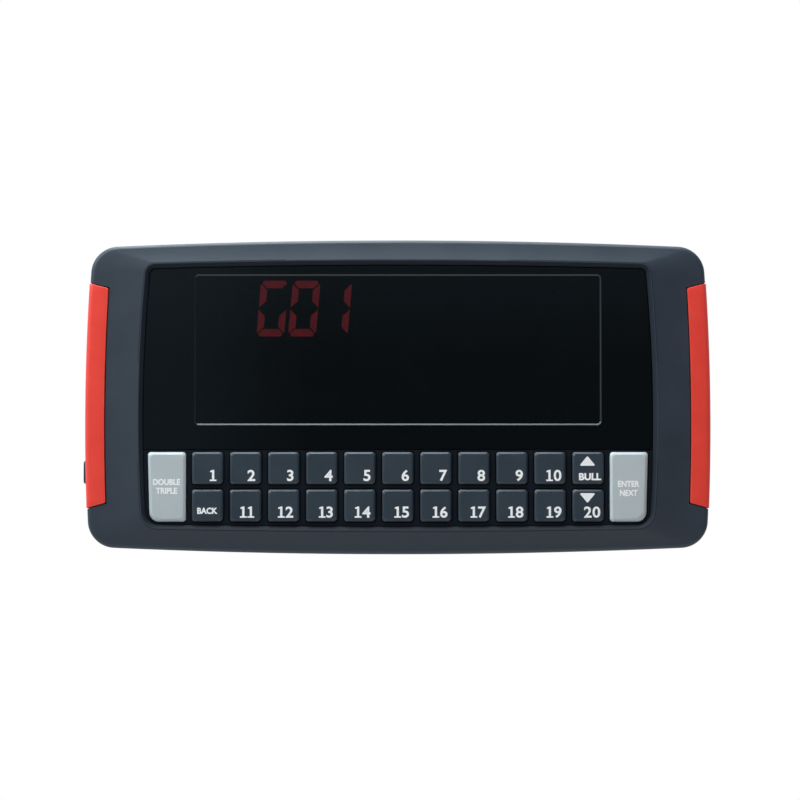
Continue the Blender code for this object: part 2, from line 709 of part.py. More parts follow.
def frame_rings(proud=0.0):
    """The front housing's skin from the seam to the frame's inner edge, moved out by proud."""
    case, recess = CASE_OUTLINE, RECESS_OUTLINE
    return [
        (case.points(FIT_GAP / 2 - proud), FRONT_SEAM_Y),
        (case.points(-proud), RIM_Y + RIM_ROUND - proud),
        (case.points(RIM_ROUND * 0.3 - proud), RIM_Y + RIM_ROUND * 0.3 - proud),
        (case.points(RIM_ROUND - proud), RIM_Y - proud),
        (recess.points(-RECESS_SLOPE - RECESS_EDGE), CREST_Y - proud),
    ]


def boss_rings(x, z, radius, front_y, back_y):
    return [(circle(x, z, radius), front_y), (circle(x, z, radius), back_y)]


def build_front_housing(material):
    recess = RECESS_OUTLINE
    skin = frame_rings() + [
        (recess.points(-RECESS_SLOPE), CREST_Y + RECESS_EDGE * 0.3),
        (recess.points(0.0), FIELD_Y),
    ]
    housing = part("front_housing", [skin], material, smooth=SMOOTH_ANGLE)

    cavity = [
        (CASE_OUTLINE.points(CASE_WALL), FRONT_SEAM_Y + OVERSHOOT),
        (CASE_OUTLINE.points(CASE_WALL), CAVITY_Y + CASE_WALL / 2),
        (CASE_OUTLINE.points(CASE_WALL * 1.5), CAVITY_Y),
    ]
    combine(housing, "DIFFERENCE", "cavity", [cavity])

    ledge = [
        (recess.points(-LEDGE_OVERLAP), CAVITY_Y - CASE_WALL / 2),
        (recess.points(-LEDGE_OVERLAP), LEDGE_BACK_Y),
    ]
    walls = []
    for side in (-1, 1):
        outline = grip_band(side, GRIP_WIDTH + CASE_WALL, CASE_WALL / 2, CASE_WALL)
        walls.append([(outline, CAVITY_Y - CASE_WALL / 4), (outline, FRONT_SEAM_Y)])
    combine(housing, "UNION", "ledge_and_pocket_walls", [ledge] + walls)

    pockets = [
        [
            (grip_outline(side), CREST_Y - OVERSHOOT),
            (grip_outline(side), FRONT_SEAM_Y + OVERSHOOT),
        ]
        for side in (-1, 1)
    ]
    combine(housing, "DIFFERENCE", "grip_pockets", pockets)

    pocket = recess.points(PANEL_SETBACK)
    panel_pocket = [(pocket, CREST_Y - OVERSHOOT), (pocket, PANEL_SEAT_Y)]
    combine(housing, "DIFFERENCE", "panel_pocket", [panel_pocket])
    opening_middle = (OPENING_TOP + OPENING_BOTTOM) / 2
    opening = rounded(
        rectangle(0, opening_middle, OPENING_WIDTH, OPENING_TOP - OPENING_BOTTOM),
        [WINDOW_CORNER] * 4,
    )
    bay_corners = rectangle(0, KEYS_MIDDLE_Z, 2 * BAY_HALF_WIDTH, BAY_TOP - BAY_BOTTOM)
    bay = rounded(bay_corners, [BAY_CORNER] * 4)
    combine(
        housing,
        "DIFFERENCE",
        "opening_and_bay",
        [
            [(opening, CREST_Y - OVERSHOOT), (opening, LEDGE_BACK_Y + OVERSHOOT)],
            [(bay, BAY_Y), (bay, LEDGE_BACK_Y + OVERSHOOT)],
        ],
    )

    slots = [
        placed_outline(x, z, corners, radii, KEY_CLEARANCE)
        for name, x, z, corners, radii in key_plans()
        if name in WIDE_KEYS
    ]
    row_width = 2 * (COLUMNS_HALF_WIDTH + KEY_CLEARANCE)
    for z in (UPPER_ROW_Z, LOWER_ROW_Z):
        corners = rectangle(0, z, row_width, KEY_HEIGHT + 2 * KEY_CLEARANCE)
        slots.append(rounded(corners, [KEY_CORNER + KEY_CLEARANCE] * 4))
    cuts = [[(outline, PANEL_SEAT_Y - OVERSHOOT), (outline, BAY_Y + OVERSHOOT)] for outline in slots]
    combine(housing, "DIFFERENCE", "key_slots", cuts)

    boss_radius = CASE_SCREW_SHANK_RADIUS + SCREW_CLEARANCE + BOSS_WALL
    standoff_radius = BOARD_SCREW_SHANK_RADIUS + SCREW_CLEARANCE + STANDOFF_WALL
    root_y = CAVITY_Y - CASE_WALL / 4
    ledge_root_y = LEDGE_BACK_Y - LEDGE_THICKNESS / 4
    posts = [boss_rings(x, z, boss_radius, root_y, BOSS_END_Y) for x, z in case_screw_places()]
    display_end_y = DISPLAY_BOARD_FRONT_Y - FIT_GAP
    key_end_y = KEY_BOARD_FRONT_Y - FIT_GAP
    for x, z in display_board_screws():
        posts.append(boss_rings(x, z, standoff_radius, ledge_root_y, display_end_y))
    for x, z in key_board_screws():
        posts.append(boss_rings(x, z, standoff_radius, ledge_root_y, key_end_y))
    combine(housing, "UNION", "posts", posts)

    case_hole = CASE_SCREW_SHANK_RADIUS + SCREW_CLEARANCE
    board_hole = BOARD_SCREW_SHANK_RADIUS + SCREW_CLEARANCE
    case_hole_y = WELL_FLOOR_Y - CASE_SCREW_LENGTH - OVERSHOOT
    bores = [
        boss_rings(x, z, case_hole, case_hole_y, BOSS_END_Y + OVERSHOOT)
        for x, z in case_screw_places()
    ]
    for places, end_y, back_y in (
        (display_board_screws(), display_end_y, DISPLAY_BOARD_BACK_Y),
        (key_board_screws(), key_end_y, KEY_BOARD_BACK_Y),
    ):
        tip_y = back_y - BOARD_SCREW_LENGTH - FIT_GAP
        bores += [boss_rings(x, z, board_hole, tip_y, end_y + OVERSHOOT) for x, z in places]
    combine(housing, "DIFFERENCE", "screw_bores", bores)
    return housing


# Grips

def build_grips(material):
    for name, side in (("left_grip", -1), ("right_grip", 1)):
        grip = part(name, [frame_rings(GRIP_PROUD)], material, smooth=SMOOTH_ANGLE)
        corners = grip_outline(side, -FIT_GAP)
        radii = [0] * len(corners)
        inner_ends = (-1, GRIP_STEPS + 1) if side > 0 else (0, GRIP_STEPS)
        for index in inner_ends:
            radii[index] = GRIP_CORNER
        body = rounded(corners, radii)
        reach = [(body, CREST_Y - OVERSHOOT), (body, FRONT_SEAM_Y + OVERSHOOT)]
        combine(grip, "INTERSECT", "outline", [reach])
        wall = FIT_GAP + GRIP_WALL
        hollow = grip_band(side, GRIP_WIDTH - wall, GRIP_WALL, -wall)
        depth_y = RIM_Y + RIM_ROUND + GRIP_WALL
        combine(grip, "DIFFERENCE", "hollow", [[(hollow, depth_y), (hollow, FRONT_SEAM_Y + OVERSHOOT)]])


# Lens and fascia

def build_panels(lens_material, fascia_material):
    """The smoked lens with its sunken window, and the black fascia below it that the keys come through."""
    outline = RECESS_OUTLINE.points(PANEL_SETBACK + FIT_GAP)
    upper = cut_above(outline, LENS_BOTTOM)
    lens = part("display_lens", [[(upper, FIELD_Y), (upper, PANEL_BACK_Y)]], lens_material)
    window = rectangle(0, WINDOW_MIDDLE_Z, WINDOW_WIDTH, WINDOW_HEIGHT)
    radii = [WINDOW_CORNER] * 4
    slope = WINDOW_BEVEL / WINDOW_DEPTH
    sunken = [
        (grown_outline(window, radii, OVERSHOOT * slope), FIELD_Y - OVERSHOOT),
        (grown_outline(window, radii, -WINDOW_BEVEL), FIELD_Y + WINDOW_DEPTH),
    ]
    combine(lens, "DIFFERENCE", "window", [sunken])

    flipped = [(x, -z) for x, z in reversed(outline)]
    lower = [(x, -z) for x, z in reversed(cut_above(flipped, FIT_GAP - LENS_BOTTOM))]
    rings = [(lower, FIELD_Y), (lower, PANEL_BACK_Y)]
    fascia = part("key_fascia", [rings], fascia_material)
    holes = []
    for _, x, z, corners, radii in key_plans():
        hole = placed_outline(x, z, corners, radii, KEY_CLEARANCE)
        holes.append([(hole, FIELD_Y - OVERSHOOT), (hole, PANEL_BACK_Y + OVERSHOOT)])
    combine(fascia, "DIFFERENCE", "key_openings", holes)


# Display

def segment_corners(number):
    """Corners of a segment, counted from the top bar clockwise, the middle bar last. The outer
    six are mitred, with their long side on the digit's outline."""
    half_width, half_height, stroke = DIGIT_WIDTH / 2, DIGIT_HEIGHT / 2, DIGIT_STROKE
    gap = DIGIT_GAP / math.sqrt(2)
    top = [
        (-half_width + gap, half_height),
        (half_width - gap, half_height),
        (half_width - gap - stroke, half_height - stroke),
        (-half_width + gap + stroke, half_height - stroke),
    ]
    upper_right = [
        (half_width, half_height - gap),
        (half_width, gap),
        (half_width - stroke, gap + stroke),
        (half_width - stroke, half_height - gap - stroke),
    ]
    point = half_width - 2 * gap
    middle = [
        (-point, 0.0),
        (-point + stroke / 2, -stroke / 2),
        (point - stroke / 2, -stroke / 2),
        (point, 0.0),
        (point - stroke / 2, stroke / 2),
        (-point + stroke / 2, stroke / 2),
    ]
    corners = middle if number == 6 else top if number in (0, 3) else upper_right
    flip_x = -1 if number in (4, 5) else 1
    flip_z = -1 if number in (2, 3, 4) else 1
    lean = math.tan(DIGIT_SLANT)
    return [(x * flip_x + z * flip_z * lean, z * flip_z) for x, z in corners]


def module_places():
    column_x = WINDOW_WIDTH / 2 - MODULE_SIDE_MARGIN
    upper_z = WINDOW_MIDDLE_Z + (DIGIT_HEIGHT + DIGIT_ROW_GAP) / 2
    lower_z = WINDOW_MIDDLE_Z - (DIGIT_HEIGHT + DIGIT_ROW_GAP) / 2
    return {
        "digits_upper_left": (-column_x, upper_z),
        "digits_upper_right": (column_x, upper_z),
        "digits_lower_left": (-column_x, lower_z),
        "digits_lower_right": (column_x, lower_z),
    }


def build_display(module_material, board_material, chip_material):
    width = DIGIT_PITCH * DIGITS_PER_MODULE - FIT_GAP
    block = rectangle(0, 0, width, MODULE_HEIGHT)
    for name, (x, z) in module_places().items():
        place = (x, MODULE_FRONT_Y, z)
        rings = [(block, DIGIT_RELIEF), (block, MODULE_DEPTH)]
        module = part(name, [rings], module_material, place)
        bars = []
        for digit in range(DIGITS_PER_MODULE):
            shift = (digit - (DIGITS_PER_MODULE - 1) / 2) * DIGIT_PITCH
            for number in range(7):
                outline = [(px + shift, pz) for px, pz in segment_corners(number)]
                bars.append([(outline, 0.0), (outline, DIGIT_RELIEF * 2)])
        combine(module, "UNION", "segments", bars, place)

    half_width = OPENING_WIDTH / 2 + BOARD_MARGIN
    corners = rectangle(
        0, (OPENING_TOP + OPENING_BOTTOM) / 2, 2 * half_width, OPENING_TOP - OPENING_BOTTOM
    )
    rings = [(corners, DISPLAY_BOARD_FRONT_Y), (corners, DISPLAY_BOARD_BACK_Y)]
    board = part("display_board", [rings], board_material)
    holes = board_holes(display_board_screws(), DISPLAY_BOARD_FRONT_Y)
    combine(board, "DIFFERENCE", "screw_holes", holes)

    body = rectangle(0, 0, CHIP_SIZE, CHIP_SIZE)
    chip_rings = [
        (body, FIT_GAP),
        (body, CHIP_THICKNESS / 2),
        (grown(body, -CHIP_THICKNESS / 4), CHIP_THICKNESS),
    ]
    part("controller_chip", [chip_rings], chip_material, (CHIP_X, DISPLAY_BOARD_BACK_Y, WINDOW_MIDDLE_Z))


def board_holes(places, board_front):
    radius = BOARD_SCREW_SHANK_RADIUS + SCREW_CLEARANCE
    ends = (board_front - OVERSHOOT, board_front + BOARD_THICKNESS + OVERSHOOT)
    return [[(circle(x, z, radius, 8), ends[0]), (circle(x, z, radius, 8), ends[1])] for x, z in places]


# Keypad mat and board

def build_keypad(rubber, board_material):
    mat_corners = rectangle(
        0,
        KEYS_MIDDLE_Z,
        2 * (BAY_HALF_WIDTH - FIT_GAP),
        BAY_TOP - BAY_BOTTOM - 2 * FIT_GAP,
    )
    sheet = rounded(mat_corners, [BAY_CORNER] * 4, 1)
    mat = part("key_mat", [[(sheet, MAT_FRONT_Y), (sheet, MAT_BACK_Y)]], rubber)
    domes = [
        [
            (circle(x, z, DOME_TOP_RADIUS, DOME_STEPS), DOME_TOP_Y),
            (circle(x, z, DOME_FOOT_RADIUS, DOME_STEPS), MAT_FRONT_Y),
            (circle(x, z, DOME_FOOT_RADIUS, DOME_STEPS), MAT_FRONT_Y + MAT_THICKNESS / 2),
        ]
        for _, x, z, _, _ in key_plans()
    ]
    combine(mat, "UNION", "domes", domes)

    low, high = key_board_edges()
    corners = rectangle(0, (low + high) / 2, 2 * BAY_HALF_WIDTH, high - low)
    rings = [(corners, KEY_BOARD_FRONT_Y), (corners, KEY_BOARD_BACK_Y)]
    board = part("key_board", [rings], board_material)
    combine(board, "DIFFERENCE", "screw_holes", board_holes(key_board_screws(), KEY_BOARD_FRONT_Y))
    x, z = case_screw_places()[-1]
    notch_radius = CASE_SCREW_SHANK_RADIUS + SCREW_CLEARANCE + BOSS_WALL + 2 * FIT_GAP
    notch_low, notch_high = low - 3 * OVERSHOOT, z + notch_radius
    corners = rectangle(
        x, (notch_low + notch_high) / 2, 2 * notch_radius, notch_high - notch_low
    )
    round_end = notch_radius * 0.9
    notch = rounded(corners, [INNER_CORNER, INNER_CORNER, round_end, round_end])
    rings = [(notch, KEY_BOARD_FRONT_Y - OVERSHOOT), (notch, KEY_BOARD_BACK_Y + OVERSHOOT)]
    combine(board, "DIFFERENCE", "boss_notch", [rings])


def build_cable(material):
    """A flat cable with a header at each end that links the boards across their split."""
    key_z = key_board_edges()[1] - HEADER_WIDTH
    display_z = OPENING_BOTTOM + HEADER_WIDTH
    key_y = KEY_BOARD_BACK_Y + FIT_GAP
    display_y = DISPLAY_BOARD_BACK_Y + FIT_GAP
    half, thin = HEADER_WIDTH / 2, CABLE_THICKNESS / 2
    start_y, end_y = key_y + HEADER_HEIGHT, display_y + HEADER_HEIGHT
    crown_y = end_y + CABLE_RISE

    def bend(offset):
        """The cable's bend, moved out by offset, from the key header to the display header."""
        middle = (key_z + display_z) / 2
        reach = (display_z - key_z) / 2 + offset
        steps = 10
        points = []
        for step in range(steps + 1):
            angle = math.pi * step / steps
            foot = start_y if step < steps / 2 else end_y
            depth = foot + (crown_y + offset - foot) * math.sin(angle)
            points.append((depth, middle - reach * math.cos(angle)))
        return points

    profile = [(start_y, key_z - half), (key_y, key_z - half)]
    profile += [(key_y, key_z + half), (start_y, key_z + half)]
    profile += bend(-thin)
    profile += [(end_y, display_z - half), (display_y, display_z - half)]
    profile += [(display_y, display_z + half), (end_y, display_z + half)]
    profile += reversed(bend(thin))
    mesh = bmesh.new()
    ends = [[mesh.verts.new((x, y, z)) for y, z in profile] for x in (-CABLE_WIDTH / 2, CABLE_WIDTH / 2)]
    mesh.faces.new(ends[0])
    mesh.faces.new(ends[1])
    for index in range(len(profile)):
        after = (index + 1) % len(profile)
        mesh.faces.new((ends[0][index], ends[0][after], ends[1][after], ends[1][index]))
    bmesh.ops.recalc_face_normals(mesh, faces=mesh.faces[:])
    data = bpy.data.meshes.new("link_cable")
    mesh.to_mesh(data)
    mesh.free()
    add_object("link_cable", data, material)


# Rear housing

def keyhole_outline(x, z, grow=0.0):
    """A round entry with a narrower slot above it that ends in a half circle, anticlockwise."""
    entry = KEYHOLE_ENTRY_RADIUS + grow
    slot = KEYHOLE_SLOT_RADIUS + grow
    meet = math.acos(slot / entry)
    points = arc_points((x, z), entry, -math.pi - meet, meet, 14)
    points += arc_points((x, z + KEYHOLE_RISE), slot, 0, math.pi, 6)
    return points


def keyhole_places():
    return [(side * KEYHOLE_SPACING / 2, KEYHOLE_Z) for side in (-1, 1)]


def keyhole_cup(x, z, grow):
    """The box round a keyhole, large enough for a screw's head all along the slot."""
    head = KEYHOLE_ENTRY_RADIUS + KEYHOLE_POCKET_MARGIN + grow
    height = KEYHOLE_RISE + 2 * head
    corners = rectangle(x, z + KEYHOLE_RISE / 2, 2 * head, height)
    return rounded(corners, [head * 0.6] * 4)


def button_face_x():
    """Inner face of the flat pad behind the button's hole, on the left wall."""
    return -(case_side_x(BUTTON_Z, CASE_WALL + BACK_DRAFT + PAD_THICKNESS))


def inlet_face_z():
    """Inner face of the flat pad behind the inlet's hole, on the bottom wall."""
    return case_bottom_z(INLET_X, CASE_WALL + BACK_DRAFT + PAD_THICKNESS)


def box_rings(low, high):
    corners = [(low[0], low[2]), (high[0], low[2]), (high[0], high[2]), (low[0], high[2])]
    return [(corners, low[1]), (corners, high[1])]


def build_rear_housing(material):
    case = CASE_OUTLINE
    skin = [
        (case.points(FIT_GAP / 2), REAR_SEAM_Y),
        (case.points(BACK_DRAFT), -BACK_EDGE_ROUND),
        (case.points(BACK_DRAFT + BACK_EDGE_ROUND * 0.3), -BACK_EDGE_ROUND * 0.3),
        (case.points(BACK_DRAFT + BACK_EDGE_ROUND), 0.0),
    ]
    housing = part("rear_housing", [skin], material, smooth=SMOOTH_ANGLE)
    tongue = [
        (case.points(TONGUE_OUTER_INSET), TONGUE_Y),
        (case.points(TONGUE_OUTER_INSET), REAR_SEAM_Y + CASE_WALL),
    ]
    combine(housing, "UNION", "tongue", [tongue])
    shoulder_y = REAR_SEAM_Y + CASE_WALL
    cavity = [
        (case.points(TONGUE_INNER_INSET), TONGUE_Y - OVERSHOOT),
        (case.points(TONGUE_INNER_INSET), shoulder_y),
        (case.points(CASE_WALL + BACK_DRAFT), shoulder_y + CASE_WALL),
        (case.points(CASE_WALL + BACK_DRAFT), BACK_WALL_Y),
    ]
    combine(housing, "DIFFERENCE", "cavity", [cavity])

    notches = []
    for side in (-1, 1):
        outline = grip_outline(side, CASE_WALL + FIT_GAP)
        notches.append([(outline, TONGUE_Y - OVERSHOOT), (outline, REAR_SEAM_Y)])
    combine(housing, "DIFFERENCE", "tongue_notches", notches)

    well_radius = CASE_SCREW_HEAD_RADIUS + 2 * SCREW_CLEARANCE
    post_radius = well_radius + CASE_WELL_WALL
    root_y = BACK_WALL_Y / 2
    additions = [boss_rings(x, z, post_radius, WELL_END_Y, root_y) for x, z in case_screw_places()]
    cup_y = BACK_WALL_Y - KEYHOLE_POCKET_DEPTH - KEYHOLE_CUP_WALL
    for x, z in keyhole_places():
        outline = keyhole_cup(x, z, KEYHOLE_CUP_WALL)
        additions.append([(outline, cup_y), (outline, root_y)])
    collar = SPEAKER_RADIUS + FIT_GAP + SPEAKER_COLLAR_WALL
    collar_y = BACK_WALL_Y - SPEAKER_COLLAR_HEIGHT
    ring = circle(SPEAKER_X, SPEAKER_Z, collar, SPEAKER_STEPS)
    additions.append([(ring, collar_y), (ring, root_y)])
    additions.append(button_pad_rings())
    additions.append(inlet_pad_rings())
    combine(housing, "UNION", "posts_cups_and_pads", additions)
    combine(housing, "UNION", "cradles", switch_cradle_rings() + inlet_cradle_rings())

    pockets = []
    for x, z in keyhole_places():
        outline = keyhole_cup(x, z, 0.0)
        pockets.append([(outline, BACK_WALL_Y - KEYHOLE_POCKET_DEPTH), (outline, BACK_WALL_Y)])
    seat = circle(SPEAKER_X, SPEAKER_Z, SPEAKER_RADIUS + FIT_GAP, SPEAKER_STEPS)
    pockets.append([(seat, collar_y - OVERSHOOT), (seat, BACK_WALL_Y)])
    combine(housing, "DIFFERENCE", "pockets", pockets)

    cuts = []
    for x, z in keyhole_places():
        outline = keyhole_outline(x, z)
        cuts.append([(outline, BACK_WALL_Y - OVERSHOOT), (outline, OVERSHOOT)])
    for slot in range(GRILLE_SLOTS):
        offset = (slot - (GRILLE_SLOTS - 1) / 2) * GRILLE_SLOT_PITCH
        length = 2 * math.sqrt(GRILLE_RADIUS**2 - offset**2)
        corners = rectangle(SPEAKER_X + offset, SPEAKER_Z, GRILLE_SLOT_WIDTH, length)
        outline = rounded(corners, [GRILLE_SLOT_WIDTH * 0.45] * 4, 1)
        cuts.append([(outline, BACK_WALL_Y - OVERSHOOT), (outline, OVERSHOOT)])
    for x, z in case_screw_places():
        cuts.append(boss_rings(x, z, well_radius, WELL_FLOOR_Y, OVERSHOOT))
    combine(housing, "DIFFERENCE", "keyholes_grille_and_wells", cuts)

    clearance_radius = CASE_SCREW_SHANK_RADIUS + SCREW_CLEARANCE
    passages = [
        boss_rings(x, z, clearance_radius, WELL_END_Y - OVERSHOOT, WELL_FLOOR_Y + OVERSHOOT)
        for x, z in case_screw_places()
    ]
    combine(housing, "DIFFERENCE", "screw_passages", passages)

    face = button_face_x()
    hole = grown_outline(button_corners(), button_radii(), BUTTON_CLEARANCE)
    combine(
        housing,
        "DIFFERENCE",
        "button_hole",
        [[(hole, -CASE_WALL * 4), (hole, OVERSHOOT)]],
        (face, -BUTTON_FROM_BACK, BUTTON_Z),
        (0, 0, -math.pi / 2),
    )
    combine(
        housing,
        "DIFFERENCE",
        "inlet_hole",
        [boss_rings(0, 0, INLET_WALL_HOLE_RADIUS, -CASE_WALL * 4, OVERSHOOT)],
        (INLET_X, -INLET_DEPTH_MIDDLE, inlet_face_z()),
        (math.pi / 2, 0, 0),
    )


# Power button and switch

def button_corners():
    return rectangle(0, 0, BUTTON_WIDTH, BUTTON_LENGTH)


def button_radii():
    return [BUTTON_WIDTH * 0.45] * 4


def button_pad_rings():
    face = button_face_x()
    half_width = BUTTON_WIDTH / 2 + BUTTON_PAD_MARGIN
    half_length = BUTTON_LENGTH / 2 + BUTTON_PAD_MARGIN
    outer = -case_side_x(abs(BUTTON_Z) + half_length, BACK_DRAFT) + CASE_WALL * 0.4
    low = (outer, -BUTTON_FROM_BACK - half_width, BUTTON_Z - half_length)
    high = (face, BACK_WALL_Y / 2, BUTTON_Z + half_length)
    return box_rings(low, high)


def switch_span():
    """Where the switch's body starts and ends along X."""
    start = button_face_x() + FIT_GAP + BUTTON_FLANGE_THICKNESS + BUTTON_TRAVEL + 2 * FIT_GAP
    return start, start + SWITCH_LENGTH


def switch_middle_y():
    return BACK_WALL_Y - FIT_GAP - SWITCH_HEIGHT / 2


def switch_cradle_rings():
    start, end = switch_span()
    half = SWITCH_WIDTH / 2 + FIT_GAP
    ribs = []
    for side in (-1, 1):
        edges = sorted((BUTTON_Z + side * half, BUTTON_Z + side * (half + CRADLE_WALL)))
        low = (start, BACK_WALL_Y - CRADLE_HEIGHT, edges[0])
        ribs.append(box_rings(low, (end, BACK_WALL_Y / 2, edges[1])))
    return ribs


def build_power_button(material, switch_material):
    face = button_face_x()
    wall_x = -case_side_x(BUTTON_Z, BACK_DRAFT)
    crown = wall_x - BUTTON_PROUD - (face + FIT_GAP)
    shoulder = wall_x - BUTTON_PROUD * 0.35 - (face + FIT_GAP)
    corners, radii = button_corners(), button_radii()
    body = rounded(corners, radii)
    flange = grown_outline(corners, radii, BUTTON_CLEARANCE + BUTTON_FLANGE_LIP)
    stem = rounded(rectangle(0, 0, BUTTON_STEM_WIDTH, BUTTON_STEM_WIDTH), [INNER_CORNER] * 4)
    rings = [
        (grown_outline(corners, radii, -BUTTON_WIDTH * 0.3), crown),
        (grown_outline(corners, radii, -BUTTON_WIDTH * 0.1), (crown * 2 + shoulder) / 3),
        (body, shoulder),
        (body, 0.0),
        (flange, 0.0),
        (flange, BUTTON_FLANGE_THICKNESS),
        (stem, BUTTON_FLANGE_THICKNESS),
        (stem, BUTTON_FLANGE_THICKNESS + BUTTON_STEM_LENGTH),
    ]
    place = (face + FIT_GAP, -BUTTON_FROM_BACK, BUTTON_Z)
    turned = (0, 0, -math.pi / 2)
    part("power_button", [rings], material, place, turned, smooth=SMOOTH_ANGLE)

    start, _ = switch_span()
    shell = rounded(rectangle(0, 0, SWITCH_HEIGHT, SWITCH_WIDTH), [INNER_CORNER] * 4)
    socket_width = BUTTON_STEM_WIDTH + 2 * SWITCH_BORE_MARGIN
    shift = -BUTTON_FROM_BACK - switch_middle_y()
    socket = rounded(rectangle(-shift, 0, socket_width, socket_width), [INNER_CORNER] * 4)
    stem_reach = BUTTON_FLANGE_THICKNESS + BUTTON_STEM_LENGTH + BUTTON_TRAVEL + FIT_GAP
    bore_depth = face + FIT_GAP + stem_reach + FIT_GAP - start
    rings = [
        (shell, SWITCH_LENGTH),
        (shell, 0.0),
        (socket, 0.0),
        (socket, bore_depth),
    ]
    part("power_switch", [rings], switch_material, (start, switch_middle_y(), BUTTON_Z), turned)


# Power inlet

INLET_DEPTH_MIDDLE = CASE_WALL + FIT_GAP + INLET_BODY_WIDTH / 2


def inlet_pad_rings():
    half = INLET_BODY_WIDTH / 2 + INLET_PAD_MARGIN
    middle = -INLET_DEPTH_MIDDLE
    outer = case_bottom_z(abs(INLET_X) + half, BACK_DRAFT) + CASE_WALL * 0.4
    low = (INLET_X - half, middle - half, outer)
    high = (INLET_X + half, BACK_WALL_Y / 2, inlet_face_z())
    return box_rings(low, high)


def inlet_cradle_rings():
    half = INLET_BODY_WIDTH / 2 + FIT_GAP
    start = inlet_face_z() + FIT_GAP
    ribs = []
    for side in (-1, 1):
        edges = sorted((INLET_X + side * half, INLET_X + side * (half + CRADLE_WALL)))
        low = (edges[0], BACK_WALL_Y - CRADLE_HEIGHT, start)
        high = (edges[1], BACK_WALL_Y / 2, start + INLET_BODY_LENGTH)
        ribs.append(box_rings(low, high))
    return ribs


def build_inlet(material):
    shell = rounded(rectangle(0, 0, INLET_BODY_WIDTH, INLET_BODY_WIDTH), [INNER_CORNER] * 4)
    first = -3 * math.pi / 4
    bore = arc_points((0, 0), INLET_BORE_RADIUS, first, first + 2 * math.pi, len(shell))[:-1]
    pin = arc_points((0, 0), INLET_PIN_RADIUS, first, first + 2 * math.pi, len(shell))[:-1]
    rings = [
        (shell, INLET_BODY_LENGTH),
        (shell, 0.0),
        (bore, 0.0),
        (bore, INLET_BORE_DEPTH),
        (pin, INLET_BORE_DEPTH),
        (pin, INLET_PIN_SETBACK),
    ]
    place = (INLET_X, -INLET_DEPTH_MIDDLE, inlet_face_z() + FIT_GAP)
    part("dc_inlet", [rings], material, place, (math.pi / 2, 0, 0), smooth=SMOOTH_ANGLE)


# Speaker

def build_speaker(frame_material, cone_material):
    steps = SPEAKER_STEPS
    seat_y = BACK_WALL_Y - FIT_GAP
    inner = SPEAKER_RADIUS - SPEAKER_RIM_WIDTH
    throat = SPEAKER_MAGNET_RADIUS * 0.9
    rim_y = -SPEAKER_RIM_THICKNESS
    floor_y = -SPEAKER_BASKET_DEPTH
    back_y = floor_y - CASE_WALL / 2
    rings = [
        (circle(0, 0, SPEAKER_MAGNET_RADIUS, steps), back_y - SPEAKER_MAGNET_HEIGHT),
        (circle(0, 0, SPEAKER_MAGNET_RADIUS, steps), back_y),
        (circle(0, 0, SPEAKER_MAGNET_RADIUS * 1.2, steps), back_y),
        (circle(0, 0, SPEAKER_RADIUS - SPEAKER_RIM_WIDTH / 2, steps), rim_y),
        (circle(0, 0, SPEAKER_RADIUS, steps), rim_y),
        (circle(0, 0, SPEAKER_RADIUS, steps), 0.0),
        (circle(0, 0, inner, steps), 0.0),
        (circle(0, 0, inner, steps), rim_y / 2),
        (circle(0, 0, throat, steps), floor_y),
    ]
    place = (SPEAKER_X, seat_y, SPEAKER_Z)
    part("speaker_frame", [rings], frame_material, place, smooth=SMOOTH_ANGLE)
    edge = inner - FIT_GAP
    narrow = throat - FIT_GAP
    lift = 2 * FIT_GAP
    cone = [
        (circle(0, 0, narrow, steps), floor_y + lift),
        (circle(0, 0, edge, steps), rim_y / 2 + lift - CONE_THICKNESS / 2),
        (circle(0, 0, edge, steps), rim_y / 2 + lift + CONE_THICKNESS / 2),
        (circle(0, 0, narrow, steps), floor_y + lift + CONE_THICKNESS),
        (circle(0, 0, narrow * 0.5, steps), floor_y + lift + CONE_THICKNESS * 3),
    ]
    part("speaker_cone", [cone], cone_material, place, smooth=SMOOTH_ANGLE)


def build():
    for item in list(bpy.data.objects):
        bpy.data.objects.remove(item)
    case_plastic = finish("case_plastic", (0.042, 0.052, 0.065), 0.45)
    rear_plastic = finish("rear_plastic", (0.018, 0.020, 0.024), 0.55)
    grip_rubber = finish("grip_rubber", (0.70, 0.045, 0.025), 0.45)
    fascia_plastic = finish("fascia_plastic", (0.007, 0.011, 0.018), 0.30)
    smoked_acrylic = finish("smoked_acrylic", (0.004, 0.006, 0.008), 0.06)
    key_plastic = finish("key_plastic", (0.034, 0.043, 0.056), 0.50)
    wide_key_plastic = finish("wide_key_plastic", (0.36, 0.41, 0.42), 0.45)
    silicone = finish("silicone", (0.30, 0.30, 0.29), 0.60)
    board = finish("circuit_board", (0.020, 0.12, 0.045), 0.40)
    module_resin = finish("digit_resin", (0.22, 0.03, 0.025), 0.50)
    chip_resin = finish("chip_resin", (0.012, 0.012, 0.013), 0.45)
    cable_vinyl = finish("cable_vinyl", (0.45, 0.45, 0.44), 0.50)
    steel = finish("zinc_steel", (0.55, 0.55, 0.56), 0.35, 1.0)
    speaker_steel = finish("speaker_steel", (0.30, 0.30, 0.31), 0.40, 1.0)
    speaker_paper = finish("speaker_paper", (0.020, 0.019, 0.018), 0.85)
    switch_nylon = finish("switch_nylon", (0.020, 0.020, 0.022), 0.50)

    build_front_housing(case_plastic)
    build_rear_housing(rear_plastic)
    build_grips(grip_rubber)
    build_panels(smoked_acrylic, fascia_plastic)
    build_keys(key_plastic, wide_key_plastic)
    build_keypad(silicone, board)
    build_display(module_resin, board, chip_resin)
    build_cable(cable_vinyl)
    build_speaker(speaker_steel, speaker_paper)
    build_power_button(key_plastic, switch_nylon)
    build_inlet(switch_nylon)
    build_screws(steel)


build()
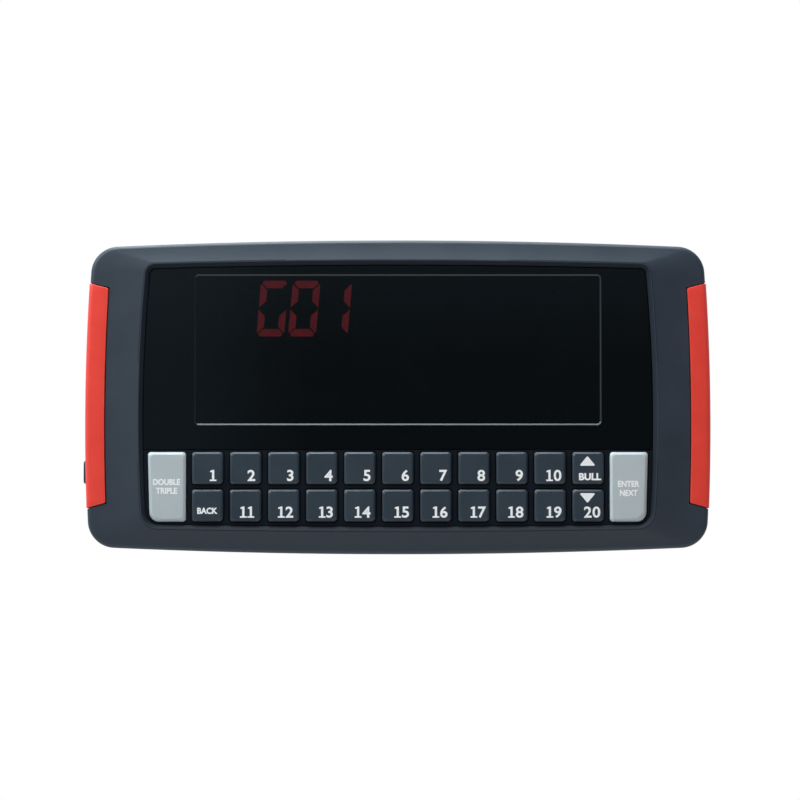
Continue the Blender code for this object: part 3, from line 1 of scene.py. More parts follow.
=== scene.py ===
"""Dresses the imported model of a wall-hung electronic dart scorer for a studio picture.

The keys face -Y, X runs to the right as a player sees the box, and Z is up. Lengths are in metres.
"""

import math

import bmesh
import bpy
from bpy.props import FloatProperty, FloatVectorProperty, IntProperty, PointerProperty
from mathutils import Matrix, Vector


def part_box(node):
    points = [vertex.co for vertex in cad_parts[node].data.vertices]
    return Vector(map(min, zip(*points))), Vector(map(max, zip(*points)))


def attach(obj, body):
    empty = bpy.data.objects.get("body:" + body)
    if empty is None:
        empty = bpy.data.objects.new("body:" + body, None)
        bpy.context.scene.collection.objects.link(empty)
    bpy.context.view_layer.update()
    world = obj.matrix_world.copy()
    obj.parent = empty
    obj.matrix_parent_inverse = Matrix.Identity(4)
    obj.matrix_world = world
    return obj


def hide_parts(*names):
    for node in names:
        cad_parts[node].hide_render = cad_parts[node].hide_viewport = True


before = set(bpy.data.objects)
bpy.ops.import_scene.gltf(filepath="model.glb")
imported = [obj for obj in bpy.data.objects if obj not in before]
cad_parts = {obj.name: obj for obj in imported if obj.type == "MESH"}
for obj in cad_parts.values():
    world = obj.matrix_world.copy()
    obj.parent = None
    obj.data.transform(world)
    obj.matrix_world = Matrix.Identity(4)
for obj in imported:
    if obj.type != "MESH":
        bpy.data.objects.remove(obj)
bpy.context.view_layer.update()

bl_info = {
    "name": "Dart scorer dresser",
    "version": (1, 0, 0),
    "blender": (4, 5, 0),
    "location": "3D View > Sidebar > Scorer",
    "description": "Gives the packed dart scorer its visible shapes, finishes, print and studio",
    "category": "Object",
}

MM = 0.001
FIT_GAP = 0.3 * MM
SMOOTH = math.radians(28)

# How the housings meet
SEAM_EASE = 0.35 * MM  # how far the edges at the seam are eased
TONGUE = 1.2 * MM  # thickness of the rear housing's tongue
SCREW_BORE = 1.6 * MM  # radius of the holes for the case screws
BOSS, WELL, WELL_WALL = 3.5 * MM, 3.4 * MM, 1.5 * MM  # in front of and behind the case screws
BOSS_Y, WELL_FLOOR = -11 * MM, -9 * MM  # where bosses and wells meet, and where the heads lie
BOARD_BOSS, BOARD_BORE = 2.4 * MM, 1.2 * MM

# Behind the panels, from their seat
LEDGE_WIDTH = 1.5 * MM
LEDGE_DEPTH = 2.3 * MM
BAY_DEPTH = 1.1 * MM  # to the bay that the keys' flanges lie in
BAY_CORNER = 1.5 * MM
FLANGE_REACH = 0.6 * MM
FLANGE_THICK = 1.2 * MM
CAP_WALL = 1.4 * MM
CAP_EDGE = 0.35 * MM  # how much rounder the corners of a key's top are
PLUNGER, PLUNGER_CORNER, PLUNGER_END = 4.6 * MM, 0.8 * MM, 1.8 * MM
PANEL_EDGE = 0.15 * MM  # how far the lens's edge is eased
HOLE_EDGE = 0.2 * MM  # how far the edges of the fascia's holes are eased

INK = 0.02 * MM  # how far the print stands out of a key

# The grips
GRIP_GAP = 0.45 * MM
GRIP_CORNER = 0.8 * MM
GRIP_EDGE = 0.35 * MM
GRIP_SHELL = 2 * MM

# The back
WALL_MIDDLE = -1.1 * MM  # what stands on the back wall starts here
KEYHOLE_X, KEYHOLE_Z, KEYHOLE_RISE = 80 * MM, 36 * MM, 10 * MM
KEYHOLE_ENTRY, KEYHOLE_SLOT = 4.75 * MM, 2.5 * MM  # radii
HEAD_MARGIN, HEAD_WALL, HEAD_DEPTH = 0.9 * MM, 1.4 * MM, 5 * MM  # pocket for a screw's head
COLLAR, COLLAR_WALL, COLLAR_DEPTH = 19.7 * MM, 1.4 * MM, 3.5 * MM
GRILLE, GRILLE_PITCH, GRILLE_SLOT, GRILLE_CORNER = 16.5 * MM, 3.6 * MM, 1.8 * MM, 0.85 * MM
RIB, RIB_HEIGHT = 1.2 * MM, 5 * MM
INLET_PAD, INLET_MOUTH, INLET_THROAT = 5.5 * MM, 4.8 * MM, 4.2 * MM
INLET_LENGTH, INLET_BORE, INLET_DEPTH, INLET_CORNER = 12 * MM, 3.2 * MM, 9.5 * MM, 0.6 * MM
PIN, PIN_TIP, PIN_TAPER = 1.0 * MM, 0.55 * MM, 0.45 * MM
PIN_START, PIN_END = 2.2 * MM, 9.6 * MM

# The power button
BUTTON_WIDTH, BUTTON_HEIGHT, BUTTON_CORNER = 5.2 * MM, 11.4 * MM, 2.34 * MM
BUTTON_FLANGE, BUTTON_DOME, BUTTON_PAD = 1.25 * MM, 2.08 * MM, 8.1 * MM
BUTTON_PLAY, BUTTON_FLARE = 0.35 * MM, 0.75 * MM  # from the button to its hole and the hole's edge
BUTTON_STEM, BUTTON_STEM_LENGTH = 3 * MM, 3.1 * MM
BUTTON_Y = -7 * MM

# The digit modules
MODULE_SETBACK, MODULE_EDGE, MODULE_CORNER = 0.25 * MM, 0.2 * MM, 0.5 * MM
BAR, LIT_BAR, BAR_SETBACK = 0.4 * MM, 0.3 * MM, 0.06 * MM

TO_LEFT = Matrix.Rotation(-math.pi / 2, 4, "Z")
TO_BOTTOM = Matrix.Rotation(math.pi / 2, 4, "X")


def linear(code):
    """An sRGB hex colour as linear red, green and blue."""
    values = [int(code[i : i + 2], 16) / 255 for i in (0, 2, 4)]
    return tuple(v / 12.92 if v <= 0.04045 else ((v + 0.055) / 1.055) ** 2.4 for v in values)


def numbered(prefix):
    """The CAD nodes with this name and a number."""
    return sorted(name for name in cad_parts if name.rpartition("_")[0] == prefix)


def centre_of(node):
    low, high = (Vector(corner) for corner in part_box(node))
    return (low + high) / 2


def number(name, default, description, **settings):
    return FloatProperty(name=name, description=description, default=default, **settings)


def sizes(*names):
    """The scene's groups of sizes with these names."""
    return [getattr(bpy.context.scene, f"scorer_{name}") for name in names]


def length(name, default_mm, description):
    settings = {"unit": "LENGTH", "subtype": "DISTANCE", "precision": 4}
    return number(name, default_mm * MM, description, **settings)


def angle(name, default_degrees, description):
    return number(
        name, math.radians(default_degrees), description, subtype="ANGLE", unit="ROTATION"
    )


def colour(name, code, description):
    return FloatVectorProperty(
        name=name, description=description, default=linear(code), subtype="COLOR", min=0, max=1
    )


class ScorerCase(bpy.types.PropertyGroup):
    half_width: length("Half width", 141.705, "From the middle of the case to its side")
    half_height: length("Half height", 71.4, "From the middle of the case to its top or bottom")
    side_bow: length("Side bow", 3.2, "How far a side falls back from its middle to its end")
    top_bow: length("Top bow", 3.5, "How far the top and bottom fall back from their middle")
    crest: length("Crest", -10.0, "Height at which the case is widest")
    corner: length("Corner", 12.5, "Radius of the case's corners")
    depth: length("Depth", 30.0, "From the wall to the frame's inner edge")
    rim_setback: length("Rim setback", 3.0, "How far the outer rim lies behind the inner edge")
    rim_round: length("Rim rounding", 2.2, "Rounding of the outer rim")
    seam: length("Seam", 13.0, "From the wall to the seam between the housings")
    wall: length("Wall", 2.2, "Thickness of the case's walls")
    back_draft: length("Back draft", 0.7, "How far the rear housing tapers")
    back_round: length("Back rounding", 3.0, "Rounding of the rear housing's back edge")


class ScorerRecess(bpy.types.PropertyGroup):
    half_width: length("Half width", 115.905, "From the middle to the side of the black recess")
    top: length("Top", 60.2, "Height of the recess's top edge")
    bottom: length("Bottom", -59.0, "Height of the recess's bottom edge")
    crest: length("Crest", -8.0, "Height at which the recess is widest")
    side_bow: length("Side bow", 3.4, "How far its sides fall back")
    top_bow: length("Top bow", 1.8, "How far its top falls back")
    bottom_bow: length("Bottom bow", 1.2, "How far its bottom falls back")
    top_corner: length("Top corner", 2.8, "Radius of its top corners")
    bottom_corner: length("Bottom corner", 6.0, "Radius of its bottom corners")
    depth: length("Depth", 1.8, "From the frame's inner edge to the fascia")
    slope: length("Slope", 1.4, "How far its wall leans out")
    edge: length("Edge", 0.5, "Rounding of the frame's inner edge")
    panel: length("Panel", 1.3, "Thickness of the lens and the fascia")
    panel_setback: length("Panel setback", 0.1, "From the wall's foot to the panels' pocket")
    lens_bottom: length("Lens bottom", -24.0, "Height of the lens's lower edge")


class ScorerWindow(bpy.types.PropertyGroup):
    width: length("Width", 184.8, "Width of the sunken window in the lens")
    height: length("Height", 68.6, "Height of the window")
    bottom: length("Bottom", -12.9, "Height of the window's lower edge")
    corner: length("Corner", 2.0, "Radius of the window's corners")
    bevel: length("Bevel", 0.7, "Width of the bevelled edge of the window")
    sink: length("Sink", 0.4, "How far the window lies below the lens's face")
    margin: length("Opening margin", 2.5, "From the window to the opening behind it")
    digit_pitch: length("Digit pitch", 14.4, "From one digit to the next")
    digit_height: length("Digit height", 25.4, "Height of a digit, which is one inch")
    digit_width: length("Digit width", 12.6, "Width of a digit")
    digit_corner: length("Digit corner", 1.5, "How far the ends of a bar stay off a digit's side")
    digit_rise: length("Digit rise", 0.4, "Height of the digits above the middle of their module")
    stroke: length("Stroke", 3.05, "Width of a segment")
    segment_gap: length("Segment gap", 0.55, "Dark gap between two segments")
    slant: angle("Slant", 5.0, "Lean of the digits")


class ScorerKeys(bpy.types.PropertyGroup):
    columns: IntProperty(name="Columns", description="Small keys in a row", default=11)
    width: length("Key width", 14.15, "Width of a small key")
    height: length("Key height", 14.5, "Height of a small key")
    column_gap: length("Column gap", 3.08, "Gap between two columns")
    row_gap: length("Row gap", 2.44, "Gap between the rows")
    bottom: length("Bottom", -56.65, "Height of the lower row's bottom edge")
    corner: length("Corner", 1.3, "Radius of most corners of a key")
    round_corner: length("Round corner", 2.1, "Radius of a small key's lower right corner")
    bevel: length("Bevel", 0.8, "Width of the bevel round a key's top")
    proud: length("Proud", 1.7, "Height of a key's top above the fascia")
    clearance: length("Clearance", 0.35, "Gap between a key and its opening")
    wide_width: length("Wide key width", 17.2, "Width of the two wide keys")
    wide_gap: length("Wide key gap", 2.83, "From the last column to a wide key")
    wide_corner: length("Wide key corner", 4.4, "Radius of a wide key's outer bottom corner")
    wide_taper: length("Wide key taper", 0.9, "How far its outer side leans in")
    number_height: length("Number height", 5.1, "Height of the printed numbers")
    arrow_width: length("Arrow width", 7.4, "Width of the printed triangles")
    arrow_height: length("Arrow height", 4.45, "Height of the printed triangles")


class ScorerGrips(bpy.types.PropertyGroup):
    outer_length: length("Outer length", 103.0, "Length of a grip along the case's side")
    inner_length: length("Inner length", 98.2, "Length of a grip's inner edge")
    width: length("Width", 9.0, "Width of a grip seen from the front")
    middle: length("Middle", 0.6, "Height of a grip's middle")
    proud: length("Proud", 0.35, "How far a grip stands out of the case")


class ScorerColours(bpy.types.PropertyGroup):
    case: colour("Case", "2d3540", "Charcoal of the front housing")
    rear: colour("Rear", "1b1d21", "Black of the rear housing")
    grip: colour("Grip", "e83e30", "Red of the grips")
    lens: colour("Lens", "3a3e44", "Tint of the smoked lens")
    fascia: colour("Fascia", "080e17", "Black of the fascia round the keys")
    key: colour("Key", "2c3640", "Charcoal of the small keys")
    wide_key: colour("Wide key", "b2bcc0", "Light grey of the wide keys")
    ink: colour("Ink", "f6f7f8", "White print on the keys")
    glow: colour("Glow", "ff484a", "Red of a lit segment")
    paper: colour("Paper", "f4f4f2", "Pale studio paper")


class ScorerStudio(bpy.types.PropertyGroup):
    distance: number("Camera distance", 1.8, "From the camera to the keys", unit="LENGTH")
    elevation: angle("Elevation", -3.0, "How far the camera looks from above")
    view_width: length("View width", 362.9, "Width of what the picture takes in at the keys")
    aim_x: length("Aim X", 1.0, "Where the camera aims, to the right of the middle")
    aim_z: length("Aim Z", -1.5, "Where the camera aims, above the middle")
    floor_drop: length("Floor drop", 900.0, "From the middle of the case down to the floor")
    key_power: number("Key light", 10.4, "Power of the light from the left")
    top_power: number("Top light", 13.0, "Power of the light overhead")
    fill_power: number("Fill light", 2.4, "Power of the warm light from the right")


GROUPS = {
    "scorer_case": ScorerCase,
    "scorer_recess": ScorerRecess,
    "scorer_window": ScorerWindow,
    "scorer_keys": ScorerKeys,
    "scorer_grips": ScorerGrips,
    "scorer_colours": ScorerColours,
    "scorer_studio": ScorerStudio,
}


# Outlines

EDGE_STEPS = 26
SIDE_STEPS = 24
CORNER_STEPS = 14
GRIP_STEPS = 16


def bow_radius(half_span, bow):
    return (half_span**2 + bow**2) / (2 * bow)


def arc(centre, radius, start, end, steps):
    angles = (start + (end - start) * step / steps for step in range(steps + 1))
    return [(centre[0] + radius * math.cos(a), centre[1] + radius * math.sin(a)) for a in angles]


class BowedOutline:
    """Four bowed sides with round corners, the same left and right, drawn in X and Z."""

    def __init__(self, half_width, top, bottom, crest, bows, corners):
        side_radius = bow_radius(top - crest, bows[0])
        top_radius = bow_radius(half_width, bows[1])
        bottom_radius = bow_radius(half_width, bows[2])
        self.side = (Vector((half_width - side_radius, crest)), side_radius)
        self.top = (Vector((0, top - top_radius)), top_radius)
        self.bottom = (Vector((0, bottom + bottom_radius)), bottom_radius)
        self.top_corner = (Vector((half_width, top)), corners[0])
        self.bottom_corner = (Vector((half_width, bottom)), corners[1])

    def corner_arc(self, edge, corner, inset):
        """(centre, radius, angle at the side, angle at the edge) of the arc that touches both."""
        radius = max(corner[1] - inset, 0.3 * MM)
        first, first_reach = self.side[0], self.side[1] - inset - radius
        second, second_reach = edge[0], edge[1] - inset - radius
        apart = second - first
        along = (first_reach**2 - second_reach**2 + apart.length_squared) / (2 * apart.length)
        foot = first + apart.normalized() * along
        across = Vector((-apart.y, apart.x)).normalized() * math.sqrt(first_reach**2 - along**2)
        centre = min((foot + across, foot - across), key=lambda c: (c - corner[0]).length)
        at_side = centre - self.side[0]
        at_edge = centre - edge[0]
        return centre, radius, math.atan2(at_side.y, at_side.x), math.atan2(at_edge.y, at_edge.x)

    def points(self, inset=0.0):
        """The closed outline, drawn in by inset, anticlockwise from the middle of the bottom."""
        low, low_radius, low_side, low_end = self.corner_arc(self.bottom, self.bottom_corner, inset)
        high, high_radius, high_side, high_end = self.corner_arc(self.top, self.top_corner, inset)
        right = []
        for centre, radius, start, end, steps in (
            (self.bottom[0], self.bottom[1] - inset, -math.pi / 2, low_end, EDGE_STEPS),
            (low, low_radius, low_end, low_side, CORNER_STEPS),
            (self.side[0], self.side[1] - inset, low_side, high_side, SIDE_STEPS),
            (high, high_radius, high_side, high_end, CORNER_STEPS),
            (self.top[0], self.top[1] - inset, high_end, math.pi / 2, EDGE_STEPS),
        ):
            right += arc(centre, radius, start, end, steps)[1 if right else 0 :]
        return right + [(-x, z) for x, z in reversed(right[1:-1])]

    def side_x(self, z, inset=0.0):
        return self.side[0].x + math.sqrt((self.side[1] - inset) ** 2 - (z - self.side[0].y) ** 2)

    def bottom_z(self, x, inset=0.0):
        return self.bottom[0].y - math.sqrt((self.bottom[1] - inset) ** 2 - x**2)


def cut_above(points, level):
    """The part of a closed outline that lies above z = level."""
    kept = []
    for (x0, z0), (x1, z1) in zip(points, points[1:] + points[:1]):
        if z0 >= level:
            kept.append((x0, z0))
        if (z0 >= level) != (z1 >= level):
            kept.append((x0 + (x1 - x0) * (level - z0) / (z1 - z0), level))
    return kept


def grown(corners, distance):
    """The corners of an anticlockwise polygon whose edges are moved out by distance."""
    count = len(corners)
    lines = []
    for index in range(count):
        start = Vector(corners[index])
        along = (Vector(corners[(index + 1) % count]) - start).normalized()
        lines.append((start + Vector((along.y, -along.x)) * distance, along))
    result = []
    for index in range(count):
        start, along = lines[index - 1]
        other_start, other_along = lines[index]
        turn = along.x * other_along.y - along.y * other_along.x
        between = other_start - start
        reach = (between.x * other_along.y - between.y * other_along.x) / turn
        result.append(tuple(start + along * reach))
    return result


def rounded(corners, radii, steps=7):
    """An anticlockwise polygon with each corner rounded by its own radius, or kept if it is 0."""
    points = []
    for index, corner in enumerate(corners):
        if radii[index] == 0:
            points.append(corner)
            continue
        here = Vector(corner)
        back = (Vector(corners[index - 1]) - here).normalized()
        ahead = (Vector(corners[(index + 1) % len(corners)]) - here).normalized()
        half_angle = back.angle(ahead) / 2
        radius = radii[index]
        centre = here + (back + ahead).normalized() * radius / math.sin(half_angle)
        start = here + back * radius / math.tan(half_angle) - centre
        end = here + ahead * radius / math.tan(half_angle) - centre
        first = math.atan2(start.y, start.x)
        sweep = (math.atan2(end.y, end.x) - first + math.pi) % (2 * math.pi) - math.pi
        points += arc(centre, radius, first, first + sweep, steps)
    return points


def grown_outline(corners, radii, distance, steps=7):
    radii = [max(radius + distance, 0.15 * MM) for radius in radii]
    return rounded(grown(corners, distance), radii, steps)


def rectangle(x, z, width, height):
    left, right = x - width / 2, x + width / 2
    low, high = z - height / 2, z + height / 2
    return [(left, low), (right, low), (right, high), (left, high)]


def square_between(left, right, low, high):
    return [(left, low), (right, low), (right, high), (left, high)]


def circle(x, z, radius, steps=40):
    return arc((x, z), radius, 0, 2 * math.pi, steps)[:-1]


def button_outline(clearance=0.0):
    corners = rectangle(0, 0, BUTTON_WIDTH, BUTTON_HEIGHT)
    return grown_outline(corners, [BUTTON_CORNER] * 4, clearance)


def moved(outline, x, z):
    return [(x + across, z + up) for across, up in outline]


def prism(outline, front, back):
    """Loft rings that keep one outline from front to back."""
    return [(outline, front), (outline, back)]


def rod(middle, radius, front, back, steps=40):
    """Loft rings of a round bar along Y."""
    return prism(circle(middle.x, middle.z, radius, steps), front, back)


# Meshes

def add_loft(mesh, rings):
    """Adds one closed body that runs through these rings of (outline, y)."""
    rows = [[mesh.verts.new((x, y, z)) for x, z in outline] for outline, y in rings]
    faces = [mesh.faces.new(rows[0]), mesh.faces.new(rows[-1])]
    for row, following in zip(rows, rows[1:]):
        for index in range(len(row)):
            after = (index + 1) % len(row)
            corners = (row[index], row[after], following[after], following[index])
            faces.append(mesh.faces.new(corners))
    bmesh.ops.recalc_face_normals(mesh, faces=faces)


def plain_mesh(name, mesh):
    """Ends the editing of a mesh."""
    data = bpy.data.meshes.new(name)
    mesh.to_mesh(data)
    mesh.free()
    return data


def lofts_mesh(name, lofts):
    mesh = bmesh.new()
    for rings in lofts:
        add_loft(mesh, rings)
    return plain_mesh(name, mesh)


def flat_mesh(name, outline):
    """One face in the plane y = 0."""
    mesh = bmesh.new()
    mesh.faces.new([mesh.verts.new((x, 0.0, z)) for x, z in outline])
    return plain_mesh(name, mesh)


def evaluated_mesh(item):
    """What the item's modifiers make of it, as a plain mesh of its own."""
    bpy.context.view_layer.update()
    graph = bpy.context.evaluated_depsgraph_get()
    return bpy.data.meshes.new_from_object(item.evaluated_get(graph), depsgraph=graph)


def temporary(data, matrix=None):
    item = bpy.data.objects.new("helper", data)
    if matrix is not None:
        item.matrix_world = matrix
    bpy.context.scene.collection.objects.link(item)
    return item


def carved(lofts, steps):
    """A mesh of these lofts after (operation, lofts) steps of joining and cutting. A step may end
    with the place of its lofts."""
    body = temporary(lofts_mesh("carved", lofts))
    helpers = []
    for operation, other, *place in steps:
        helper = temporary(lofts_mesh("cutter", other), *place)
        helpers.append(helper)
        modifier = body.modifiers.new(operation.lower(), "BOOLEAN")
        modifier.operation = operation
        modifier.solver = "EXACT"
        modifier.object = helper
    data = evaluated_mesh(body)
    for item in [body] + helpers:
        bpy.data.objects.remove(item)
    return data


def piece(name, data, looks, replaces=(), body="case", smooth=SMOOTH):
    """Puts a finished mesh in the scene on a body of the frame. Looks are names of finishes."""
    data.name = name
    item = bpy.data.objects.new(name, data)
    bpy.context.scene.collection.objects.link(item)
    data.materials.clear()
    for look in looks:
        data.materials.append(finish(look))
    if smooth is not None:
        data.shade_smooth()
        data.set_sharp_from_angle(angle=smooth)
    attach(item, body)
    if replaces:
        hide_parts(*replaces)
    return item


def case_outline():
    [case] = sizes("case")
    bows, corners = (case.side_bow, case.top_bow, case.top_bow), (case.corner, case.corner)
    top = case.half_height
    return BowedOutline(case.half_width, top, -top, case.crest, bows, corners)


def recess_outline():
    [recess] = sizes("recess")
    ends = recess.half_width, recess.top, recess.bottom, recess.crest
    bows = recess.side_bow, recess.top_bow, recess.bottom_bow
    return BowedOutline(*ends, bows, (recess.top_corner, recess.bottom_corner))


# Finishes

def add(tree, kind, sockets=None, stops=(), **settings):
    """Adds a node, sets its properties, and fills its sockets with values or links. The stops of
    a colour ramp are (place, colour) pairs."""
    made = tree.nodes.new(kind)
    for name, value in settings.items():
        setattr(made, name, value)
    for index, (place, shade) in enumerate(stops):
        elements = made.color_ramp.elements
        element = elements[index] if index < len(elements) else elements.new(place)
        element.position = place
        element.color = (*shade, 1.0)
    for name, value in (sockets or {}).items():
        if isinstance(value, bpy.types.NodeSocket):
            tree.links.new(value, made.inputs[name])
        else:
            made.inputs[name].default_value = value
    return made


def new_finish(name, base, roughness, **sockets):
    """A material with its tree and its Principled shader."""
    material = bpy.data.materials.new(name)
    material.use_nodes = True
    tree = material.node_tree
    shader = tree.nodes["Principled BSDF"]
    shader.inputs["Base Color"].default_value = (*base, 1.0)
    shader.inputs["Roughness"].default_value = roughness
    for socket, value in sockets.items():
        shader.inputs[socket.replace("_", " ")].default_value = value
    material.diffuse_color = (*base, 1.0)
    return material, tree, shader


def scaled(shade, factor):
    return tuple(min(value * factor, 1.0) for value in shade)


def ranged(*limits):
    return dict(zip(("From Min", "From Max", "To Min", "To Max"), limits))


def steps_of(shade, *stops):
    """Stops of a colour ramp, from (place, factor) pairs."""
    return [(place, scaled(shade, factor)) for place, factor in stops]


def layered(name, base, roughness, layers, **sockets):
    """A finish whose colour, gloss and relief follow layers of noise. A layer is (scale, detail,
    what it drives), and without a detail it is a grain of round cells. "Tones" are stops of the
    colour, or of the socket named by "into". "Gloss" is a range of the noise and one of the
    roughness, which is the sum over the layers. "Bump" is a relief's strength and height in
    millimetres. "Stretch" scales the place first, and "noise" has more of the noise's sockets."""
    material, tree, shader = new_finish(name, base, roughness, **sockets)
    place = add(tree, "ShaderNodeTexCoord").outputs["Object"]
    glosses = []
    for scale, detail, drives in layers:
        spot = place
        if "stretch" in drives:
            stretch = {"Vector": place, "Scale": drives["stretch"]}
            spot = add(tree, "ShaderNodeMapping", stretch).outputs["Vector"]
        values = {"Vector": spot, "Scale": scale, **drives.get("noise", {})}
        if detail is None:
            cells = add(tree, "ShaderNodeTexVoronoi", values, feature="SMOOTH_F1")
            level = cells.outputs["Distance"]
        else:
            values["Detail"] = detail
            level = add(tree, "ShaderNodeTexNoise", values).outputs["Fac"]
        if "tones" in drives:
            tones = add(tree, "ShaderNodeValToRGB", {"Fac": level}, drives["tones"])
            tree.links.new(tones.outputs["Color"], shader.inputs[drives.get("into", "Base Color")])
        if "gloss" in drives:
            values = {"Value": level, **ranged(*drives["gloss"])}
            glosses.append(add(tree, "ShaderNodeMapRange", values).outputs["Result"])
        if "bump" in drives:
            strength, height = drives["bump"]
            values = {"Strength": strength, "Distance": height * MM, "Height": level}
            relief = add(tree, "ShaderNodeBump", values)
            tree.links.new(relief.outputs["Normal"], shader.inputs["Normal"])
    while len(glosses) > 1:
        values = {0: glosses.pop(0), 1: glosses.pop(0)}
        glosses.insert(0, add(tree, "ShaderNodeMath", values, operation="ADD").outputs[0])
    for gloss in glosses:
        tree.links.new(gloss, shader.inputs["Roughness"])
    return material


def moulded_plastic(name, base, roughness, grain_mm, grain_depth_mm, mottling=0.08, **sockets):
    """Injection-moulded ABS from a spark-eroded mould: a fine even grain, a slow mottle in its
    gloss where it was handled, and a few faint rubbed lines."""
    tones = steps_of(base, (0.3, 1 - mottling), (0.7, 1 + mottling))
    gloss = (0.25, 0.75, roughness - 0.07, roughness + 0.07)
    layers = [
        (1 / (grain_mm * MM), None, {"bump": (0.6, grain_depth_mm)}),
        (45.0, 4.0, {"noise": {"Roughness": 0.6}, "tones": tones, "gloss": gloss}),
        (1.0, 2.0, {"stretch": (60.0, 60.0, 900.0), "gloss": (0.66, 0.78, 0.0, -0.08)}),
    ]
    return layered(name, base, roughness, layers, **sockets)


def solder_mask():
    """Glass-epoxy board under green solder mask: copper tracks show as paler raised lines on a
    2.5 mm grid, with tinned pads."""
    base = linear("17603a")
    material, tree, shader = new_finish("green_solder_mask", base, 0.32)
    place = add(tree, "ShaderNodeTexCoord").outputs["Object"]
    turned = {"Vector": place, "Rotation": (math.pi / 2, 0.0, 0.0)}
    flat = add(tree, "ShaderNodeMapping", turned).outputs["Vector"]
    grid = {
        "Vector": flat,
        "Color1": (0, 0, 0, 1),
        "Color2": (0, 0, 0, 1),
        "Mortar": (1, 1, 1, 1),
        "Scale": 1.0,
        "Mortar Size": 0.22 * MM,
        "Brick Width": 9.0 * MM,
        "Row Height": 2.54 * MM,
    }
    tracks = add(tree, "ShaderNodeTexBrick", grid).outputs["Color"]
    cells = {"Vector": flat, "Scale": 1 / (5.08 * MM), "Randomness": 0.55}
    pads = add(tree, "ShaderNodeTexVoronoi", cells, distance="CHEBYCHEV").outputs["Distance"]
    values = {"Value": pads, **ranged(0.10, 0.13, 1.0, 0.0)}
    pad = add(tree, "ShaderNodeMapRange", values).outputs["Result"]
    shade = (*base, 1.0)
    for share, code in ((tracks, "2b8650"), (pad, "c9cbc8")):
        blend = {"Factor": share, 6: shade, 7: (*linear(code), 1.0)}
        shade = add(tree, "ShaderNodeMix", blend, data_type="RGBA").outputs[2]
    tree.links.new(shade, shader.inputs["Base Color"])
    tree.links.new(pad, shader.inputs["Metallic"])
    relief = add(
        tree, "ShaderNodeBump", {"Strength": 0.4, "Distance": 0.03 * MM, "Height": tracks}
    )
    tree.links.new(relief.outputs["Normal"], shader.inputs["Normal"])
    return material


def brushed_metal(name, base, roughness):
    """Plated or drawn steel: fine turning lines 0.3 mm apart, uneven brightness of the plating
    and a few duller patches where it was handled."""
    tones = [(0.3, scaled(base, 0.82)), (0.7, scaled(base, 1.06))]
    gloss = (0.0, 1.0, roughness - 0.08, roughness + 0.12)
    layers = [
        (1.0, 2.0, {"stretch": (3000.0, 200.0, 200.0), "bump": (0.25, 0.01)}),
        (400.0, 3.0, {"tones": tones, "gloss": gloss}),
    ]
    return layered(name, base, roughness, layers, Metallic=1.0)


def ribbon_vinyl():
    """Extruded grey vinyl ribbon: parallel round conductors 1.27 mm apart show as ribs, and the
    first one is marked red."""
    base = linear("a9a8a4")
    material, tree, shader = new_finish("grey_ribbon_vinyl", base, 0.5)
    place = add(tree, "ShaderNodeTexCoord").outputs["Object"]
    waves = {"Vector": place, "Scale": 2 * math.pi / (20 * 1.27 * MM), "Distortion": 0.0}
    bands = {"bands_direction": "X", "wave_profile": "SIN"}
    ribs = add(tree, "ShaderNodeTexWave", waves, **bands).outputs["Fac"]
    across = add(tree, "ShaderNodeSeparateXYZ", {"Vector": place}).outputs["X"]
    values = {"Value": across, **ranged(-6.75 * MM, -6.7 * MM, 1.0, 0.0)}
    marked = add(tree, "ShaderNodeMapRange", values).outputs["Result"]
    blend = {"Factor": marked, 6: (*base, 1.0), 7: (*linear("a5342a"), 1.0)}
    shades = add(tree, "ShaderNodeMix", blend, data_type="RGBA")
    tree.links.new(shades.outputs[2], shader.inputs["Base Color"])
    relief = add(tree, "ShaderNodeBump", {"Strength": 0.8, "Distance": 0.2 * MM, "Height": ribs})
    tree.links.new(relief.outputs["Normal"], shader.inputs["Normal"])
    return material


FINISHES = {}


def soft_touch_rubber(base):
    """Thermoplastic rubber: an even warm red with a velvet sheen, a very fine matt grain and
    paler scuffs where hands take hold of it."""
    scuffed = tuple(value * 0.9 + 0.04 for value in base)
    tones = [(0.35, scaled(base, 0.94)), (0.62, base), (0.85, scuffed)]
    layers = [
        (1 / (0.5 * MM), 3.0, {"bump": (0.35, 0.02)}),
        (70.0, 6.0, {"noise": {"Roughness": 0.7}, "tones": tones, "gloss": (0.3, 0.8, 0.38, 0.55)}),
    ]
    sheen = {"Sheen_Weight": 0.08, "Sheen_Roughness": 0.4}
    return layered("red_soft_touch_rubber", base, 0.45, layers, **sheen)


def smoked_acrylic(base):
    """Cast acrylic, polished and smoked nearly black: clear sharp reflections, a trace of
    waviness from the sheet, and light shining through from what is lit behind it."""
    layers = [
        (24.0, 1.0, {"bump": (0.15, 0.02)}),
        (90.0, 5.0, {"noise": {"Roughness": 0.65}, "gloss": (0.45, 0.75, 0.03, 0.09)}),
    ]
    return layered("smoked_acrylic", base, 0.04, layers, IOR=1.49, Transmission_Weight=0.98)


def streaked(name, base, roughness, size_mm, detail, stops, bump=None, noise=None, **sockets):
    """A finish with one layer of noise of this size, for its tones and its relief."""
    drives = {"tones": steps_of(base, *stops), "noise": noise or {}}
    if bump:
        drives["bump"] = bump
    return layered(name, base, roughness, [(1 / (size_mm * MM), detail, drives)], **sockets)


def lit_resin(base):
    """Diffusing epoxy over a lit red diode: a soft glow, a little uneven from place to place."""
    drives = {"tones": steps_of(base, (0.3, 0.8), (0.7, 1.0)), "into": "Emission Color"}
    layers = [(1 / (3.0 * MM), 1.0, drives)]
    return layered("lit_red_resin", scaled(base, 0.4), 0.5, layers, Emission_Strength=1.65)


